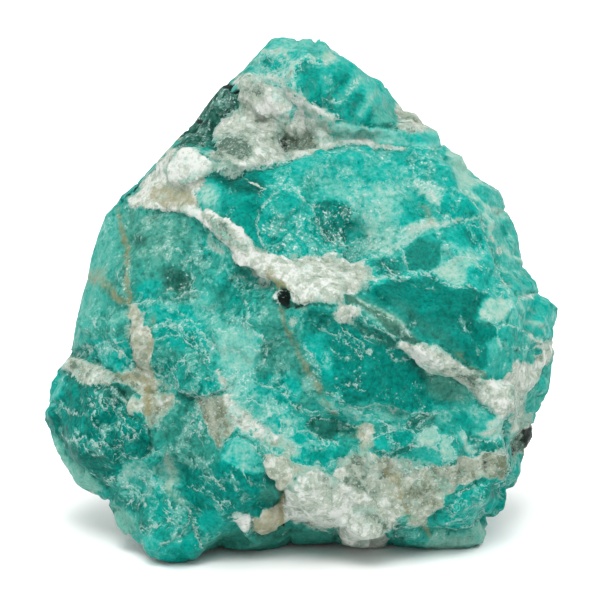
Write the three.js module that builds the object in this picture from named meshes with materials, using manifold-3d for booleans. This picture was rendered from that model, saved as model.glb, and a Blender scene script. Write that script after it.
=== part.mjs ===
// A hand-sized piece of rough amazonite: one broken lump of green feldspar and quartz.
// It rests on a small flat spot.
// Millimetres, +Z up, X across the broad face, which looks towards -Y and leans back.
// The lump is first shaped in its face frame: U across the broad face, V up it, W straight out of it.
import * as THREE from "three";
import Module from "manifold-3d";
import { mergeVertices } from "three/addons/utils/BufferGeometryUtils.js";

// Driving dimensions.
const FACE_LEAN = THREE.MathUtils.degToRad(15); // how far the broad face leans back
const FACE_HEIGHT = 27.5; // from the flat spot up to the middle of the broad face
const FRONT_REACH = 25; // how far the unbroken lump would bulge in front of its rim
const BACK_REACH = 26; // and behind it
const RIM_POWER = 2.3; // 2 is an elliptical section from rim to rim, more is boxier
const RIM_BAND = 4.5; // the rim's small notches die out this far in front of it and behind it
const RIM_PROUD = 0.4; // the rim stands this much proud of the broad shape between its notches
const RIM_CALM = 0.18; // the relief dies out over this share of the reach next to the rim
const EDGE_ROUNDING = 0.12; // softness of the edge between two broken faces
const SPHERE_DETAIL = 21; // 20 * (detail + 1)^2 triangles

// The rim is the widest contour, seen square to the broad face, clockwise from the top: [u, v, w].
const RIM = [
  [-3.4, 31.6, -4], [-0.2, 31.7, -4], [2.5, 31.6, -4], [4.1, 30.0, -4], [6.5, 28.4, -4], [8.4, 26.9, -4],
  [10.4, 25.4, -4], [11.4, 24.1, -3], [12.5, 22.8, -3], [13.9, 22.4, -3], [14.8, 21.2, -2],
  [16.4, 20.3, -2], [17.0, 19.2, -1], [18.2, 17.8, -1], [19.4, 17.0, -1], [21.0, 15.0, 0], [22.7, 13.9, 0],
  [24.1, 12.5, 0], [24.7, 10.8, 0], [25.6, 8.6, 0], [26.3, 6.0, 0], [26.9, 3.8, 0], [28.3, 2.0, 0],
  [29.4, 0.5, 0], [31.0, -0.8, 0], [30.7, -3.0, 0], [30.4, -5.4, 0], [30.2, -8.6, 0], [29.9, -10.8, 0],
  [28.9, -12.6, 0], [28.0, -14.9, 0], [28.0, -16.3, 0], [27.0, -18.2, 0], [26.5, -20.4, 1],
  [25.8, -22.2, 1], [24.8, -23.6, 2], [24.6, -25.0, 2], [22.9, -26.2, 2], [22.4, -28.2, 3],
  [21.7, -29.4, 3], [19.8, -29.9, 3], [16.8, -30.0, 3], [14.4, -29.9, 3], [12.0, -29.5, 3], [9.6, -29.8, 3],
  [6.0, -29.6, 3], [0.0, -29.6, 4], [-4.8, -30.0, 4], [-9.6, -29.6, 5], [-11.4, -30.4, 6],
  [-13.2, -31.4, 8], [-15.4, -31.6, 9], [-17.4, -31.2, 9], [-18.6, -30.5, 9], [-19.6, -29.2, 8],
  [-21.4, -28.4, 7], [-22.4, -26.4, 6], [-23.0, -24.7, 5], [-24.4, -23.6, 4], [-26.6, -22.3, 4],
  [-27.7, -20.6, 3], [-28.8, -19.1, 2], [-29.6, -16.8, 1], [-30.6, -13.6, 0], [-30.1, -12.1, 0],
  [-29.8, -10.2, 0], [-29.0, -8.2, 0], [-27.7, -6.2, 0], [-27.1, -4.2, 0], [-26.4, -0.6, 0],
  [-25.6, 2.4, 0], [-25.0, 5.3, 0], [-24.1, 8.2, 0], [-22.8, 10.6, 0], [-21.5, 12.5, -1], [-19.7, 13.9, -1],
  [-18.4, 15.4, -1], [-17.0, 16.8, -1], [-14.4, 19.7, -2], [-12.8, 21.1, -2], [-11.9, 22.6, -3],
  [-10.8, 24.0, -3], [-9.7, 25.4, -3], [-7.7, 26.9, -3], [-6.2, 28.3, -4], [-4.9, 29.9, -4],
];

// The broken faces: planes with this outward normal [u, v, w] at this distance from the middle of the lump.
const BROKEN_FACES = [
  { normal: [0.08, 0.40, 0.91], distance: 19.6 }, // upper block, above
  { normal: [0.14, 0.05, 0.99], distance: 21.2 }, // and below
  { normal: [-0.33, 0.14, 0.93], distance: 18.9 }, // left body
  { normal: [-0.02, -0.10, 0.99], distance: 20.3 }, // middle
  { normal: [-0.50, -0.10, 0.86], distance: 22.9 }, // lower left block
  { normal: [-0.30, -0.35, 0.89], distance: 26.4 }, // lower left slope
  { normal: [0.00, -0.60, 0.80], distance: 27.5 }, // bottom slope
  { normal: [0.35, -0.25, 0.90], distance: 25.0 }, // lower right
  { normal: [0.40, -0.50, 0.77], distance: 30.3 }, // lower right slope
  { normal: [0.85, 0.15, 0.50], distance: 27.9 }, // right flank
  { normal: [0.66, 0.45, 0.60], distance: 24.6 }, // upper right flank
  { normal: [0.10, 0.50, 0.86], distance: 17.0 }, // top crystal
  { normal: [-0.50, 0.45, 0.74], distance: 19.2 }, // upper left slope
  { normal: [-0.72, 0.30, 0.63], distance: 21.3 }, // left flank
  { normal: [0.12, 0.14, -0.98], distance: 18.4 }, // back
  { normal: [-0.50, 0.20, -0.84], distance: 20.6 },
  { normal: [0.62, 0.08, -0.78], distance: 22.4 },
  { normal: [0.20, 0.66, -0.72], distance: 21.2 },
  { normal: [-0.42, 0.70, -0.58], distance: 23.6 },
  { normal: [-0.10, -0.50, -0.86], distance: 26.0 },
  { normal: [-0.78, -0.30, -0.55], distance: 27.4 },
  { normal: [0.74, -0.42, -0.52], distance: 28.4 },
  { normal: [0.74, 0.50, -0.45], distance: 26.0 },
  { normal: [-0.20, -0.10, -0.97], distance: 19.0 },
];

// Ledges: on the right hand of the path, as it is walked, the surface drops and comes back over the reach.
const FRONT_LEDGES = [
  // under the long vein, from the left edge to the middle
  {
    path: [
      [-21.6, 10.3], [-18.0, 10.6], [-15.4, 10.6], [-13.0, 9.1], [-10.1, 6.8], [-7.2, 4.4], [-4.6, 2.4],
      [-2.6, 0.0],
    ],
    drop: 2.0, reach: 7, edge: 1.6,
  },
  // and from the middle to the right
  {
    path: [
      [-1.0, -1.0], [2.4, -2.2], [6.0, -2.2], [9.0, -3.6], [12.0, -6.0], [15.8, -8.2], [19.2, -10.6],
      [22.3, -13.4],
    ],
    drop: 2.2, reach: 6, edge: 1.6,
  },
  // under the right corner of the upper block
  { path: [[22.6, -8.6], [25.2, -8.9], [26.6, -7.4], [28.8, -6.2]], drop: 1.0, reach: 3, edge: 1.4 },
  // the top crystal's lower edge overhangs the shelf
  {
    path: [
      [12.0, 20.6], [7.9, 20.6], [3.6, 21.2], [0.2, 23.0], [-1.7, 24.2], [-5.0, 24.5],
    ],
    drop: -2.0, reach: 3, edge: 1.4,
  },
  // behind the upper block's top edge
  {
    path: [
      [16.8, 17.8], [12.0, 18.0], [7.9, 18.0], [4.1, 17.3], [0.0, 16.1], [-3.8, 14.6], [-7.7, 14.6],
      [-11.0, 15.4],
    ],
    drop: 2.2, reach: 6, edge: 1.8,
  },
  // right edge of the upper block
  {
    path: [
      [24.6, -4.6], [24.2, -0.2], [23.3, 4.1], [21.8, 8.2], [20.2, 12.5], [18.2, 15.6], [16.6, 18.0],
    ],
    drop: -1.4, reach: 5, edge: 1.6,
  },
  // under the flecked block
  {
    path: [
      [0.0, -11.8], [3.6, -13.2], [7.9, -13.2], [12.2, -13.0], [16.8, -13.4],
    ],
    drop: 1.4, reach: 4, edge: 1.6,
  },
  // under the middle lobe
  { path: [[-13.7, -12.2], [-11.4, -11.8], [-9.1, -10.8], [-7.7, -9.6]], drop: 0.9, reach: 4, edge: 1.4 },
  // lower left block's lower edge
  {
    path: [
      [-21.8, -26.4], [-21.1, -24.0], [-19.2, -22.3], [-17.0, -20.4], [-16.1, -18.2],
    ],
    drop: 0.9, reach: 4, edge: 1.6,
  },
  // lower right block
  { path: [[24.0, -24.6], [20.4, -25.4], [16.8, -27.4], [15.1, -29.4]], drop: 0.9, reach: 4, edge: 1.5 },
];
const BACK_LEDGES = [
  { path: [[-24, 4], [-14, 6], [-4, 3], [6, 5], [17, 2], [27, 4]], drop: 1.6, reach: 7, edge: 1.6 },
  { path: [[12, -20], [14, -8], [10, 4], [12, 14], [8, 24]], drop: 1.3, reach: 6, edge: 1.6 },
  { path: [[-24, -10], [-12, -13], [0, -11], [10, -15], [22, -13]], drop: 1.5, reach: 6, edge: 1.6 },
];

// Grooves run along seams where soft vein filling has worn away.
const FRONT_GROOVES = [
  // left seam
  { path: [[-29.0, -6.2], [-24.5, -8.6], [-20.6, -9.6], [-18.0, -10.6]], depth: 1.3, width: 1.5 },
  { path: [[-19.7, 0.0], [-19.0, -5.4], [-18.5, -9.6]], depth: 0.6, width: 1.1 }, // upright seam
  // between the lower left blocks
  { path: [[-15.8, -16.8], [-16.1, -21.6], [-13.2, -26.4], [-12.5, -29.8]], depth: 0.9, width: 1.9 },
  { path: [[-4.6, -24.0], [-1.9, -26.4], [-1.7, -29.4]], depth: 0.9, width: 1.3 }, // beside the white lump
  // lower right seam
  { path: [[24.7, -16.8], [20.4, -19.4], [15.6, -18.2], [12.0, -19.4]], depth: 0.8, width: 1.4 },
  { path: [[-10.8, 25.8], [-8.2, 21.0], [-10.3, 16.8]], depth: 0.7, width: 1.2 }, // edge of the dark strip
];
const BACK_GROOVES = [
  { path: [[-20, 14], [-8, 9], [4, 12], [18, 9]], depth: 0.9, width: 1.5 },
  { path: [[-22, -16], [-10, -6], [2, -8], [12, 0], [24, -4]], depth: 0.9, width: 1.4 },
];

// Lumps, and hollows where the height is negative: [u, v] middle, half sizes, and turn in degrees.
const FRONT_LUMPS = [
  { at: [3.6, 25.9], half: [7.9, 4.1], turn: -22, height: 3.0 }, // top crystal
  { at: [-6.0, 20.6], half: [7.2, 4.6], turn: 0, height: -3.2 }, // quartz hollow
  { at: [-5.8, 19.0], half: [4.1, 3.1], turn: 8, height: 2.8 }, // grey quartz grain in it
  { at: [0.2, 19.0], half: [2.2, 1.6], turn: 0, height: -1.6 }, // dark pit beside it
  { at: [-13.2, 16.1], half: [3.8, 1.9], turn: 10, height: 2.0 }, // white grain on the left shoulder
  { at: [-17.8, 12.7], half: [3.1, 1.7], turn: 35, height: 1.2 },
  { at: [-8.2, 10.3], half: [4.1, 3.6], turn: -50, height: 1.2 }, // smooth block
  { at: [5.0, 7.4], half: [3.4, 4.1], turn: 10, height: -2.0 }, // sugary hollow
  { at: [-1.2, 8.4], half: [4.1, 3.8], turn: 0, height: 0.6 },
  { at: [17.8, 11.8], half: [2.9, 2.2], turn: 0, height: 1.2 }, // pale grain
  { at: [10.1, 1.2], half: [1.9, 1.9], turn: 0, height: 0.5 },
  { at: [21.4, 1.4], half: [3.1, 2.9], turn: 0, height: 0.7 }, // pale grain
  { at: [16.8, -3.6], half: [7.4, 4.6], turn: -30, height: 1.4 }, // lower end of the upper block
  { at: [1.2, 1.9], half: [6.7, 2.6], turn: -12, height: 1.1 }, // quartz swelling on the long vein
  { at: [-2.2, -0.2], half: [1.1, 1.1], turn: 0, height: -0.8 }, // dark pit
  { at: [15.4, -6.7], half: [3.8, 1.6], turn: -38, height: 0.9 }, // white body of the vein
  { at: [23.3, -11.8], half: [3.1, 2.4], turn: -40, height: 0.8 },
  { at: [-21.6, 1.2], half: [4.8, 9.1], turn: -10, height: 0.6 },
  { at: [-12.0, -6.2], half: [4.6, 5.0], turn: 0, height: 1.2 }, // middle lobe
  { at: [6.0, -8.2], half: [6.7, 4.3], turn: -25, height: 1.7 }, // flecked block
  { at: [4.3, -15.4], half: [3.6, 1.6], turn: 5, height: -1.8 }, // dark hollow
  { at: [-6.7, -18.0], half: [2.4, 2.2], turn: 0, height: 0.9 }, // pale lump
  { at: [-22.8, -15.6], half: [5.8, 5.0], turn: -10, height: 2.0 }, // lower left block
  { at: [-8.2, -22.8], half: [5.3, 3.6], turn: -10, height: 0.8 }, // green block
  { at: [-15.6, -29.8], half: [4.1, 2.4], turn: 5, height: 1.4 }, // front foot
  { at: [-2.2, -20.9], half: [2.6, 2.6], turn: 0, height: 1.5 }, // buff lump
  { at: [2.4, -24.0], half: [4.3, 3.6], turn: -20, height: 2.8 }, // white quartz lump
  { at: [7.2, -27.8], half: [3.1, 2.0], turn: 10, height: 2.3 }, // its lower neighbour
  { at: [-3.1, -26.6], half: [1.9, 1.7], turn: 0, height: 1.1 }, // stained grain
  { at: [11.4, -16.8], half: [3.2, 1.9], turn: 12, height: 0.9 }, // small lumps at the lower right
  { at: [15.6, -16.8], half: [1.9, 1.6], turn: 0, height: 0.9 },
  { at: [18.2, -18.0], half: [1.9, 2.2], turn: 0, height: 0.8 },
  { at: [16.3, -19.0], half: [1.6, 1.2], turn: 0, height: 0.8 },
  { at: [11.5, -27.1], half: [1.1, 1.7], turn: 0, height: -0.9 }, // small dark pit
  { at: [19.9, -25.4], half: [4.3, 2.8], turn: 20, height: 2.0 }, // lower right block
  { at: [23.3, -23.8], half: [1.7, 1.9], turn: 0, height: 0.9 },
];
const BACK_LUMPS = [
  { at: [-14, 10], half: [7, 6], turn: 20, height: 1.1 },
  { at: [6, 18], half: [8, 5], turn: -15, height: 1.3 },
  { at: [18, -4], half: [6, 8], turn: 10, height: 1.1 },
  { at: [-2, -4], half: [7, 5], turn: 30, height: -1.3 },
  { at: [-18, -14], half: [6, 5], turn: 0, height: 1.2 },
  { at: [4, -18], half: [7, 5], turn: -20, height: 1.2 },
  { at: [20, 12], half: [4, 4], turn: 0, height: -0.9 },
];

// The roughness of the whole surface: smooth swells, and chips, shallow tilted scoops with sharp edges.
const SWELLS = [{ size: 9, height: 0.3 }];
const CHIPS = [{ size: 11, depth: 3.4 }, { size: 5.2, depth: 1.3 }];
const CHIP_TILT = 0.7;
const CHIP_TOP = 0.6; // scoops are cut away from this share of their depth

const mix = (a, b, t) => a + (b - a) * t;
const clamp01 = (t) => Math.min(1, Math.max(0, t));
const smooth = (t) => {
  const c = clamp01(t);
  return c * c * (3 - 2 * c);
};

// A repeatable number from 0 to 1 for each cell of a lattice.
function cellValue(i, j, k, salt = 0) {
  const x = Math.sin(i * 127.1 + j * 311.7 + k * 74.7 + salt * 19.19) * 43758.5453;
  return x - Math.floor(x);
}

// Smooth noise from -1 to 1.
function swell(p, size) {
  const q = [p.x / size, p.y / size, p.z / size];
  const cell = q.map(Math.floor);
  const t = q.map((x, axis) => smooth(x - cell[axis]));
  let sum = 0;
  for (let corner = 0; corner < 8; corner++) {
    const step = [corner & 1, (corner >> 1) & 1, (corner >> 2) & 1];
    const weight = step.reduce((w, s, axis) => w * (s ? t[axis] : 1 - t[axis]), 1);
    sum += weight * cellValue(cell[0] + step[0], cell[1] + step[1], cell[2] + step[2]);
  }
  return 2 * sum - 1;
}

// The height at p of the chips, each a scoop around a point scattered one to a cell. The deepest one is seen.
function chips(p, { size, depth }) {
  const q = [p.x / size, p.y / size, p.z / size];
  const cell = q.map(Math.floor);
  let deepest = Infinity;
  for (let i = -1; i <= 1; i++)
    for (let j = -1; j <= 1; j++)
      for (let k = -1; k <= 1; k++) {
        const c = [cell[0] + i, cell[1] + j, cell[2] + k];
        const away = c.map((x, axis) => q[axis] - x - cellValue(c[0], c[1], c[2], axis + 1));
        const tilt = away.map((x, axis) => x * (cellValue(c[0], c[1], c[2], axis + 4) - 0.5));
        const scoop = away.reduce((s, x) => s + x * x, 0) + CHIP_TILT * tilt.reduce((s, x) => s + x, 0);
        deepest = Math.min(deepest, scoop + 0.3 * cellValue(c[0], c[1], c[2], 7));
      }
  return depth * Math.min(0, deepest - CHIP_TOP);
}

// The rim's distance from the middle and its depth w, in the direction of an angle in the face plane.
function makeRim() {
  const curve = new THREE.CatmullRomCurve3(RIM.map((p) => new THREE.Vector3(...p)), true, "centripetal");
  const points = curve.getSpacedPoints(RIM.length * 6);
  const sides = points.slice(1).map((b, i) => [points[i], b]);
  return (angle) => {
    const du = Math.cos(angle),
      dv = Math.sin(angle);
    for (const [a, b] of sides) {
      const sideU = b.x - a.x,
        sideV = b.y - a.y;
      const across = du * sideV - dv * sideU;
      if (across === 0) continue;
      const along = (du * a.y - dv * a.x) / -across;
      const reach = (a.x * sideV - a.y * sideU) / across;
      if (along >= -1e-9 && along <= 1 + 1e-9 && reach > 0) return { reach, w: mix(a.z, b.z, along) };
    }
    throw new Error("the rim has a gap at " + angle);
  };
}

// The lowest of several heights, rounded where two of them meet.
function softMin(heights, rounding) {
  const least = Math.min(...heights);
  const sum = heights.reduce((s, h) => s + Math.exp((least - h) / rounding), 0);
  return least - rounding * Math.log(sum);
}

// Nearest place on a path: the distance, the side it is on (+1 left, -1 right) and the share walked.
function nearPath(path, u, v) {
  let best = { distance: Infinity, side: 1, walked: 0 };
  for (let i = 0; i + 1 < path.length; i++) {
    const [au, av] = path[i],
      [bu, bv] = path[i + 1];
    const su = bu - au,
      sv = bv - av;
    const t = clamp01(((u - au) * su + (v - av) * sv) / (su * su + sv * sv));
    const distance = Math.hypot(u - au - t * su, v - av - t * sv);
    if (distance < best.distance) {
      const side = su * (v - av) - sv * (u - au) >= 0 ? 1 : -1;
      best = { distance, side, walked: (i + t) / (path.length - 1) };
    }
  }
  return best;
}

function ledgeHeight({ path, drop, reach, edge }, u, v) {
  const near = nearPath(path, u, v);
  const past = -near.distance * near.side;
  const ends = smooth(near.walked * 6) * smooth((1 - near.walked) * 6);
  return -drop * ends * smooth(past / edge + 0.5) * Math.exp(-Math.max(0, past) / reach);
}

function grooveHeight({ path, depth, width }, u, v) {
  const { distance } = nearPath(path, u, v);
  return -depth * Math.exp(-((distance / width) ** 2));
}

function lumpHeight({ at, half, turn, height }, u, v) {
  const a = THREE.MathUtils.degToRad(turn);
  const du = u - at[0],
    dv = v - at[1];
  const x = (du * Math.cos(a) + dv * Math.sin(a)) / half[0];
  const y = (dv * Math.cos(a) - du * Math.sin(a)) / half[1];
  return height * smooth(1.3 - Math.hypot(x, y));
}

// The relief of one side of the lump at (u, v), in millimetres out of the face plane.
function reliefHeight({ ledges, grooves, lumps }, u, v) {
  return (
    ledges.reduce((s, l) => s + ledgeHeight(l, u, v), 0) +
    grooves.reduce((s, g) => s + grooveHeight(g, u, v), 0) +
    lumps.reduce((s, l) => s + lumpHeight(l, u, v), 0)
  );
}

const FRONT = { reach: FRONT_REACH, ledges: FRONT_LEDGES, grooves: FRONT_GROOVES, lumps: FRONT_LUMPS };
const BACK = { reach: BACK_REACH, ledges: BACK_LEDGES, grooves: BACK_GROOVES, lumps: BACK_LUMPS };

// Where a direction from the middle of the lump leaves the unbroken lump.
function unbrokenRadius(direction, rim, broadReach, side) {
  const flat = Math.hypot(direction.x, direction.y);
  let low = 0,
    high = 60;
  for (let step = 0; step < 30; step++) {
    const r = (low + high) / 2;
    const outline = mix(broadReach, rim.reach, Math.exp(-(((direction.z * r - rim.w) / RIM_BAND) ** 2)));
    const share = (flat * r) / outline;
    const bulge = Math.abs(direction.z * r - rim.w * share * share) / side.reach;
    if (share ** RIM_POWER + bulge ** RIM_POWER < 1) low = r;
    else high = r;
  }
  return low;
}

// Where a direction from the middle of the lump meets its broken surface, in the face frame.
function facePoint(direction, rimAt) {
  const angle = Math.atan2(direction.y, direction.x);
  const rim = rimAt(angle);
  const around = [-0.3, -0.2, -0.1, 0, 0.1, 0.2, 0.3].map((turn) => rimAt(angle + turn).reach);
  const broadReach = Math.min(rim.reach, around.reduce((s, r) => s + r, 0) / around.length) - RIM_PROUD;
  const side = direction.z >= 0 ? FRONT : BACK;
  const cuts = BROKEN_FACES.map(({ normal, distance }) => {
    const n = new THREE.Vector3(...normal).normalize();
    return distance / Math.max(1e-3, n.dot(direction));
  });
  const radius = softMin([unbrokenRadius(direction, rim, broadReach, side), ...cuts], EDGE_ROUNDING);
  const place = direction.clone().multiplyScalar(radius);
  const share = clamp01(Math.hypot(place.x, place.y) / rim.reach);
  const calm = smooth(Math.abs(place.z - rim.w * share * share) / side.reach / RIM_CALM);
  const rough =
    SWELLS.reduce((s, n) => s + n.height * swell(place, n.size), 0) +
    CHIPS.reduce((s, n) => s + chips(place, n), 0);
  const relief = reliefHeight(side, place.x, place.y);
  place.addScaledVector(direction, calm * rough);
  place.z += Math.sign(direction.z) * calm * relief;
  return place;
}

// From the face frame to the part's frame.
function stand(p) {
  const sin = Math.sin(FACE_LEAN),
    cos = Math.cos(FACE_LEAN);
  return new THREE.Vector3(p.x, p.y * sin - p.z * cos, p.y * cos + p.z * sin + FACE_HEIGHT);
}

function makeLump() {
  const sphere = new THREE.IcosahedronGeometry(1, SPHERE_DETAIL);
  sphere.deleteAttribute("normal");
  sphere.deleteAttribute("uv");
  const geometry = mergeVertices(sphere);
  const rimAt = makeRim();
  const position = geometry.attributes.position;
  const direction = new THREE.Vector3();
  for (let i = 0; i < position.count; i++) {
    direction.fromBufferAttribute(position, i).normalize();
    const p = stand(facePoint(direction, rimAt));
    position.setXYZ(i, p.x, p.y, p.z);
  }
  return geometry;
}

const wasm = await Module();
wasm.setup();

function toSolid(geometry) {
  const bare = geometry.clone();
  bare.deleteAttribute("normal");
  bare.deleteAttribute("uv");
  const merged = mergeVertices(bare);
  const mesh = new wasm.Mesh({
    numProp: 3,
    vertProperties: new Float32Array(merged.attributes.position.array),
    triVerts: new Uint32Array(merged.index.array),
  });
  return new wasm.Manifold(mesh);
}

function toGeometry(solid) {
  const mesh = solid.getMesh();
  const geometry = new THREE.BufferGeometry();
  geometry.setAttribute("position", new THREE.BufferAttribute(new Float32Array(mesh.vertProperties), 3));
  geometry.setIndex(new THREE.BufferAttribute(new Uint32Array(mesh.triVerts), 1));
  geometry.computeVertexNormals();
  return geometry;
}

// The lump with everything below the surface it rests on cut away, which leaves the flat spot.
function makeStone() {
  const below = new THREE.BoxGeometry(100, 100, 20).translate(0, 0, -10);
  const geometry = toGeometry(toSolid(makeLump()).subtract(toSolid(below)));
  geometry.computeBoundingBox();
  const middle = geometry.boundingBox.getCenter(new THREE.Vector3());
  geometry.translate(-middle.x, -middle.y, 0);
  return geometry;
}

const stone = new THREE.Mesh(
  makeStone(),
  new THREE.MeshStandardMaterial({ color: 0x2fa595, roughness: 0.55, metalness: 0 }),
);
stone.name = "amazonite";

const part = new THREE.Group();
part.add(stone);

export default part;
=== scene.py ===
import math
from types import SimpleNamespace

import bpy
import numpy as np
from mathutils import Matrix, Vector
from mathutils.bvhtree import BVHTree


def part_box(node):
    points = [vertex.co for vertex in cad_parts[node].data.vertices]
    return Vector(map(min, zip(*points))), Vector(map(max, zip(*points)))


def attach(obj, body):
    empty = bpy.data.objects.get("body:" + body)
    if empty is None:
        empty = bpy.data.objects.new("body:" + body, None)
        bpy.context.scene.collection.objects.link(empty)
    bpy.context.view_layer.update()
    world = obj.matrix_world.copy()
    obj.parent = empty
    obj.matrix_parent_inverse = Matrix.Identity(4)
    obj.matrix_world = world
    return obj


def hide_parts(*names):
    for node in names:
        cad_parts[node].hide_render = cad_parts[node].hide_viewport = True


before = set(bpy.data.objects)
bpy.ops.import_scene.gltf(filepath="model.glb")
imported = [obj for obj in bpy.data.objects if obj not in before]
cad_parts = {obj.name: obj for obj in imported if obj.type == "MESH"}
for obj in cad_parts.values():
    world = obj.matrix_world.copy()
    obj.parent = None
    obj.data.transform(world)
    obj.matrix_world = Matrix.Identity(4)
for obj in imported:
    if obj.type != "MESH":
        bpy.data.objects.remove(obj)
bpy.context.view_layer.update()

# ---------------------------------------------------------------- sizes, in metres unless they say otherwise
MM = 0.001
PIXEL = 0.12 * MM  # one pixel of the 600 x 600 picture, at the middle of the stone
PICTURE = 600  # width and height of the picture in pixels
LENS, SENSOR = 300.0, 36.0  # millimetres
ELEVATION = math.radians(15)
FACE_MIDDLE = np.array((-0.383, 2.308, 27.5)) * MM  # what the middle of the picture looks at
DISTANCE = PICTURE * PIXEL * LENS / SENSOR
RIGHT = np.array((1.0, 0.0, 0.0))
UP = np.array((0.0, math.sin(ELEVATION), math.cos(ELEVATION)))
OUT = np.array((0.0, -math.cos(ELEVATION), math.sin(ELEVATION)))

FRONT_EDGE = 0.405 * MM  # longest edge of the fine surface where it faces the camera
BACK_EDGE = 0.85 * MM  # and where it faces away
EDGE_TURN, EDGE_BLEND = 0.35, 0.4  # where the one goes over into the other, as cosines
EVENING = 3  # rounds that even out the fine surface's points, before each of its layings on the solid
LAYINGS = 3
SMOOTHING = 40  # rounds that take the solid's facets out of it
WELD = 0.001 * MM  # corners of the solid that are nearer than this are one

COARSE, SMALL = 2.3 * MM, 0.95 * MM  # crystals that the colours and the relief follow
SLAB, SUGAR_GRAIN = 6.5 * MM, 0.7 * MM  # wide breaks and the quartz's grain, in the relief only
BIG_CELL, TINY_CELL = 1.7 * MM, 0.62 * MM  # crystals of the material
FLAT_SPOT = 0.15  # height up to which the surface stays flat, in millimetres
CALM = 1.2  # height above that over which the relief grows to its full depth, in millimetres
PAST_BOX = 0.02  # how far the surface may go past the solid's box, as a share of its size

SHOWN_TURN, SHOWN_BLEND = 0.12, 0.3  # where the picture's markings go over into the guessed ones, as cosines
FAR = 1e9
TINY = 1e-9
LINE_REACH = 40.0  # half widths from a thin line beyond which nothing is measured
LINE_MARGIN = 12  # the same for the box round a line, in pixels
OUTLINE_BINS = 540  # directions in which the outline is fitted
OUTLINE_ROUNDS = 3
OUTLINE_PULL = 0.9, 1.12  # least and most that a round draws the rim in or out
RIM_START, RIM_WIDTH = 0.8, 0.2  # the part of the way to the outline that is drawn along
HASH = 73856093, 19349663, 83492791  # large primes that scatter the cells' numbers
SEED_HASH = 2654435761
STIR = 1274126177, 2246822519


# ---------------------------------------------------------------- small maths on arrays
def smooth(t):
    t = np.clip(t, 0, 1)
    return t * t * (3 - 2 * t)


def mix(a, b, t):
    return a + (b - a) * t


def cell_value(cell, seed):
    """A repeatable number from 0 to 1 for each integer cell."""
    c = cell.astype(np.int64)
    h = (c[..., 0] * HASH[0]) ^ (c[..., 1] * HASH[1]) ^ (c[..., 2] * HASH[2]) ^ (seed * SEED_HASH)
    h = (h ^ (h >> 13)) * STIR[0] & 0xFFFFFFFF
    h = (h ^ (h >> 16)) * STIR[1] & 0xFFFFFFFF
    return ((h ^ (h >> 13)) & 0xFFFFFF) / float(0xFFFFFF)


def swell(p, size, seed):
    """Smooth noise from -1 to 1, with swells about size across."""
    q = p / size
    cell = np.floor(q)
    t = q - cell
    t = t * t * t * (t * (t * 6 - 15) + 10)
    total = np.zeros(len(p))
    for corner in range(8):
        step = np.array((corner & 1, (corner >> 1) & 1, (corner >> 2) & 1))
        weight = np.prod(np.where(step == 1, t, 1 - t), axis=1)
        total += weight * cell_value(cell + step, seed)
    return 2 * total - 1


def swells(p, size, seed, octaves=4, keep=0.5):
    """Swells of several sizes, each half as wide as the last and lower by the share kept."""
    total, height, reach = np.zeros(len(p)), 1.0, 0.0
    for k in range(octaves):
        total += height * swell(p, size / 2**k, seed + 17 * k)
        reach += height
        height *= keep
    return total / reach


def chips(p, size, seed):
    """Crystals grown together: the way to the nearest one's middle, its tilt there and its own number."""
    q = p / size
    cell = np.floor(q)
    best = np.full(len(p), FAR)
    towards = np.zeros_like(p)
    tilt, own = np.zeros(len(p)), np.zeros(len(p))
    for i in (-1, 0, 1):
        for j in (-1, 0, 1):
            for k in (-1, 0, 1):
                c = cell + (i, j, k)
                away = q - c - np.stack([cell_value(c, seed + a) for a in (1, 2, 3)], axis=1)
                lean = np.stack([cell_value(c, seed + a) - 0.5 for a in (4, 5, 6)], axis=1)
                d = (away**2).sum(1)
                nearer = d < best
                best = np.where(nearer, d, best)
                towards = np.where(nearer[:, None], -away * size, towards)
                tilt = np.where(nearer, 2 * (away * lean).sum(1) * size, tilt)
                own = np.where(nearer, cell_value(c, seed + 7), own)
    return towards, tilt, own


# ---------------------------------------------------------------- the fine surface, laid over the solid
def normals_of(p, triangles):
    a, b, c = (p[triangles[:, k]] for k in range(3))
    n = np.cross(b - a, c - a)
    total = np.zeros_like(p)
    for k in range(3):
        for axis in range(3):
            total[:, axis] += np.bincount(triangles[:, k], n[:, axis], len(p))
    return total / np.maximum(1e-30, np.linalg.norm(total, axis=1, keepdims=True))


def edges_of(triangles):
    pairs = np.concatenate([triangles[:, [0, 1]], triangles[:, [1, 2]], triangles[:, [2, 0]]])
    return np.unique(np.sort(pairs, axis=1), axis=0)


def to_face(p):
    """From the part's frame to the face frame: across, up and out from its middle, in millimetres."""
    q = (p - FACE_MIDDLE) / MM
    return np.stack([q @ RIGHT, q @ UP, q @ OUT], axis=1)


def from_face(face):
    return FACE_MIDDLE + MM * (face[:, [0]] * RIGHT + face[:, [1]] * UP + face[:, [2]] * OUT)


def solid_mesh():
    """The solid's corners, each once, and its triangles."""
    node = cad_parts["amazonite"]
    corners = np.array([tuple(v.co) for v in node.data.vertices])
    faces = np.array([tuple(f.vertices) for f in node.data.polygons])
    places = np.round(corners / WELD)
    _, first, back = np.unique(places, axis=0, return_index=True, return_inverse=True)
    return corners[first], back.reshape(-1)[faces]


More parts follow.
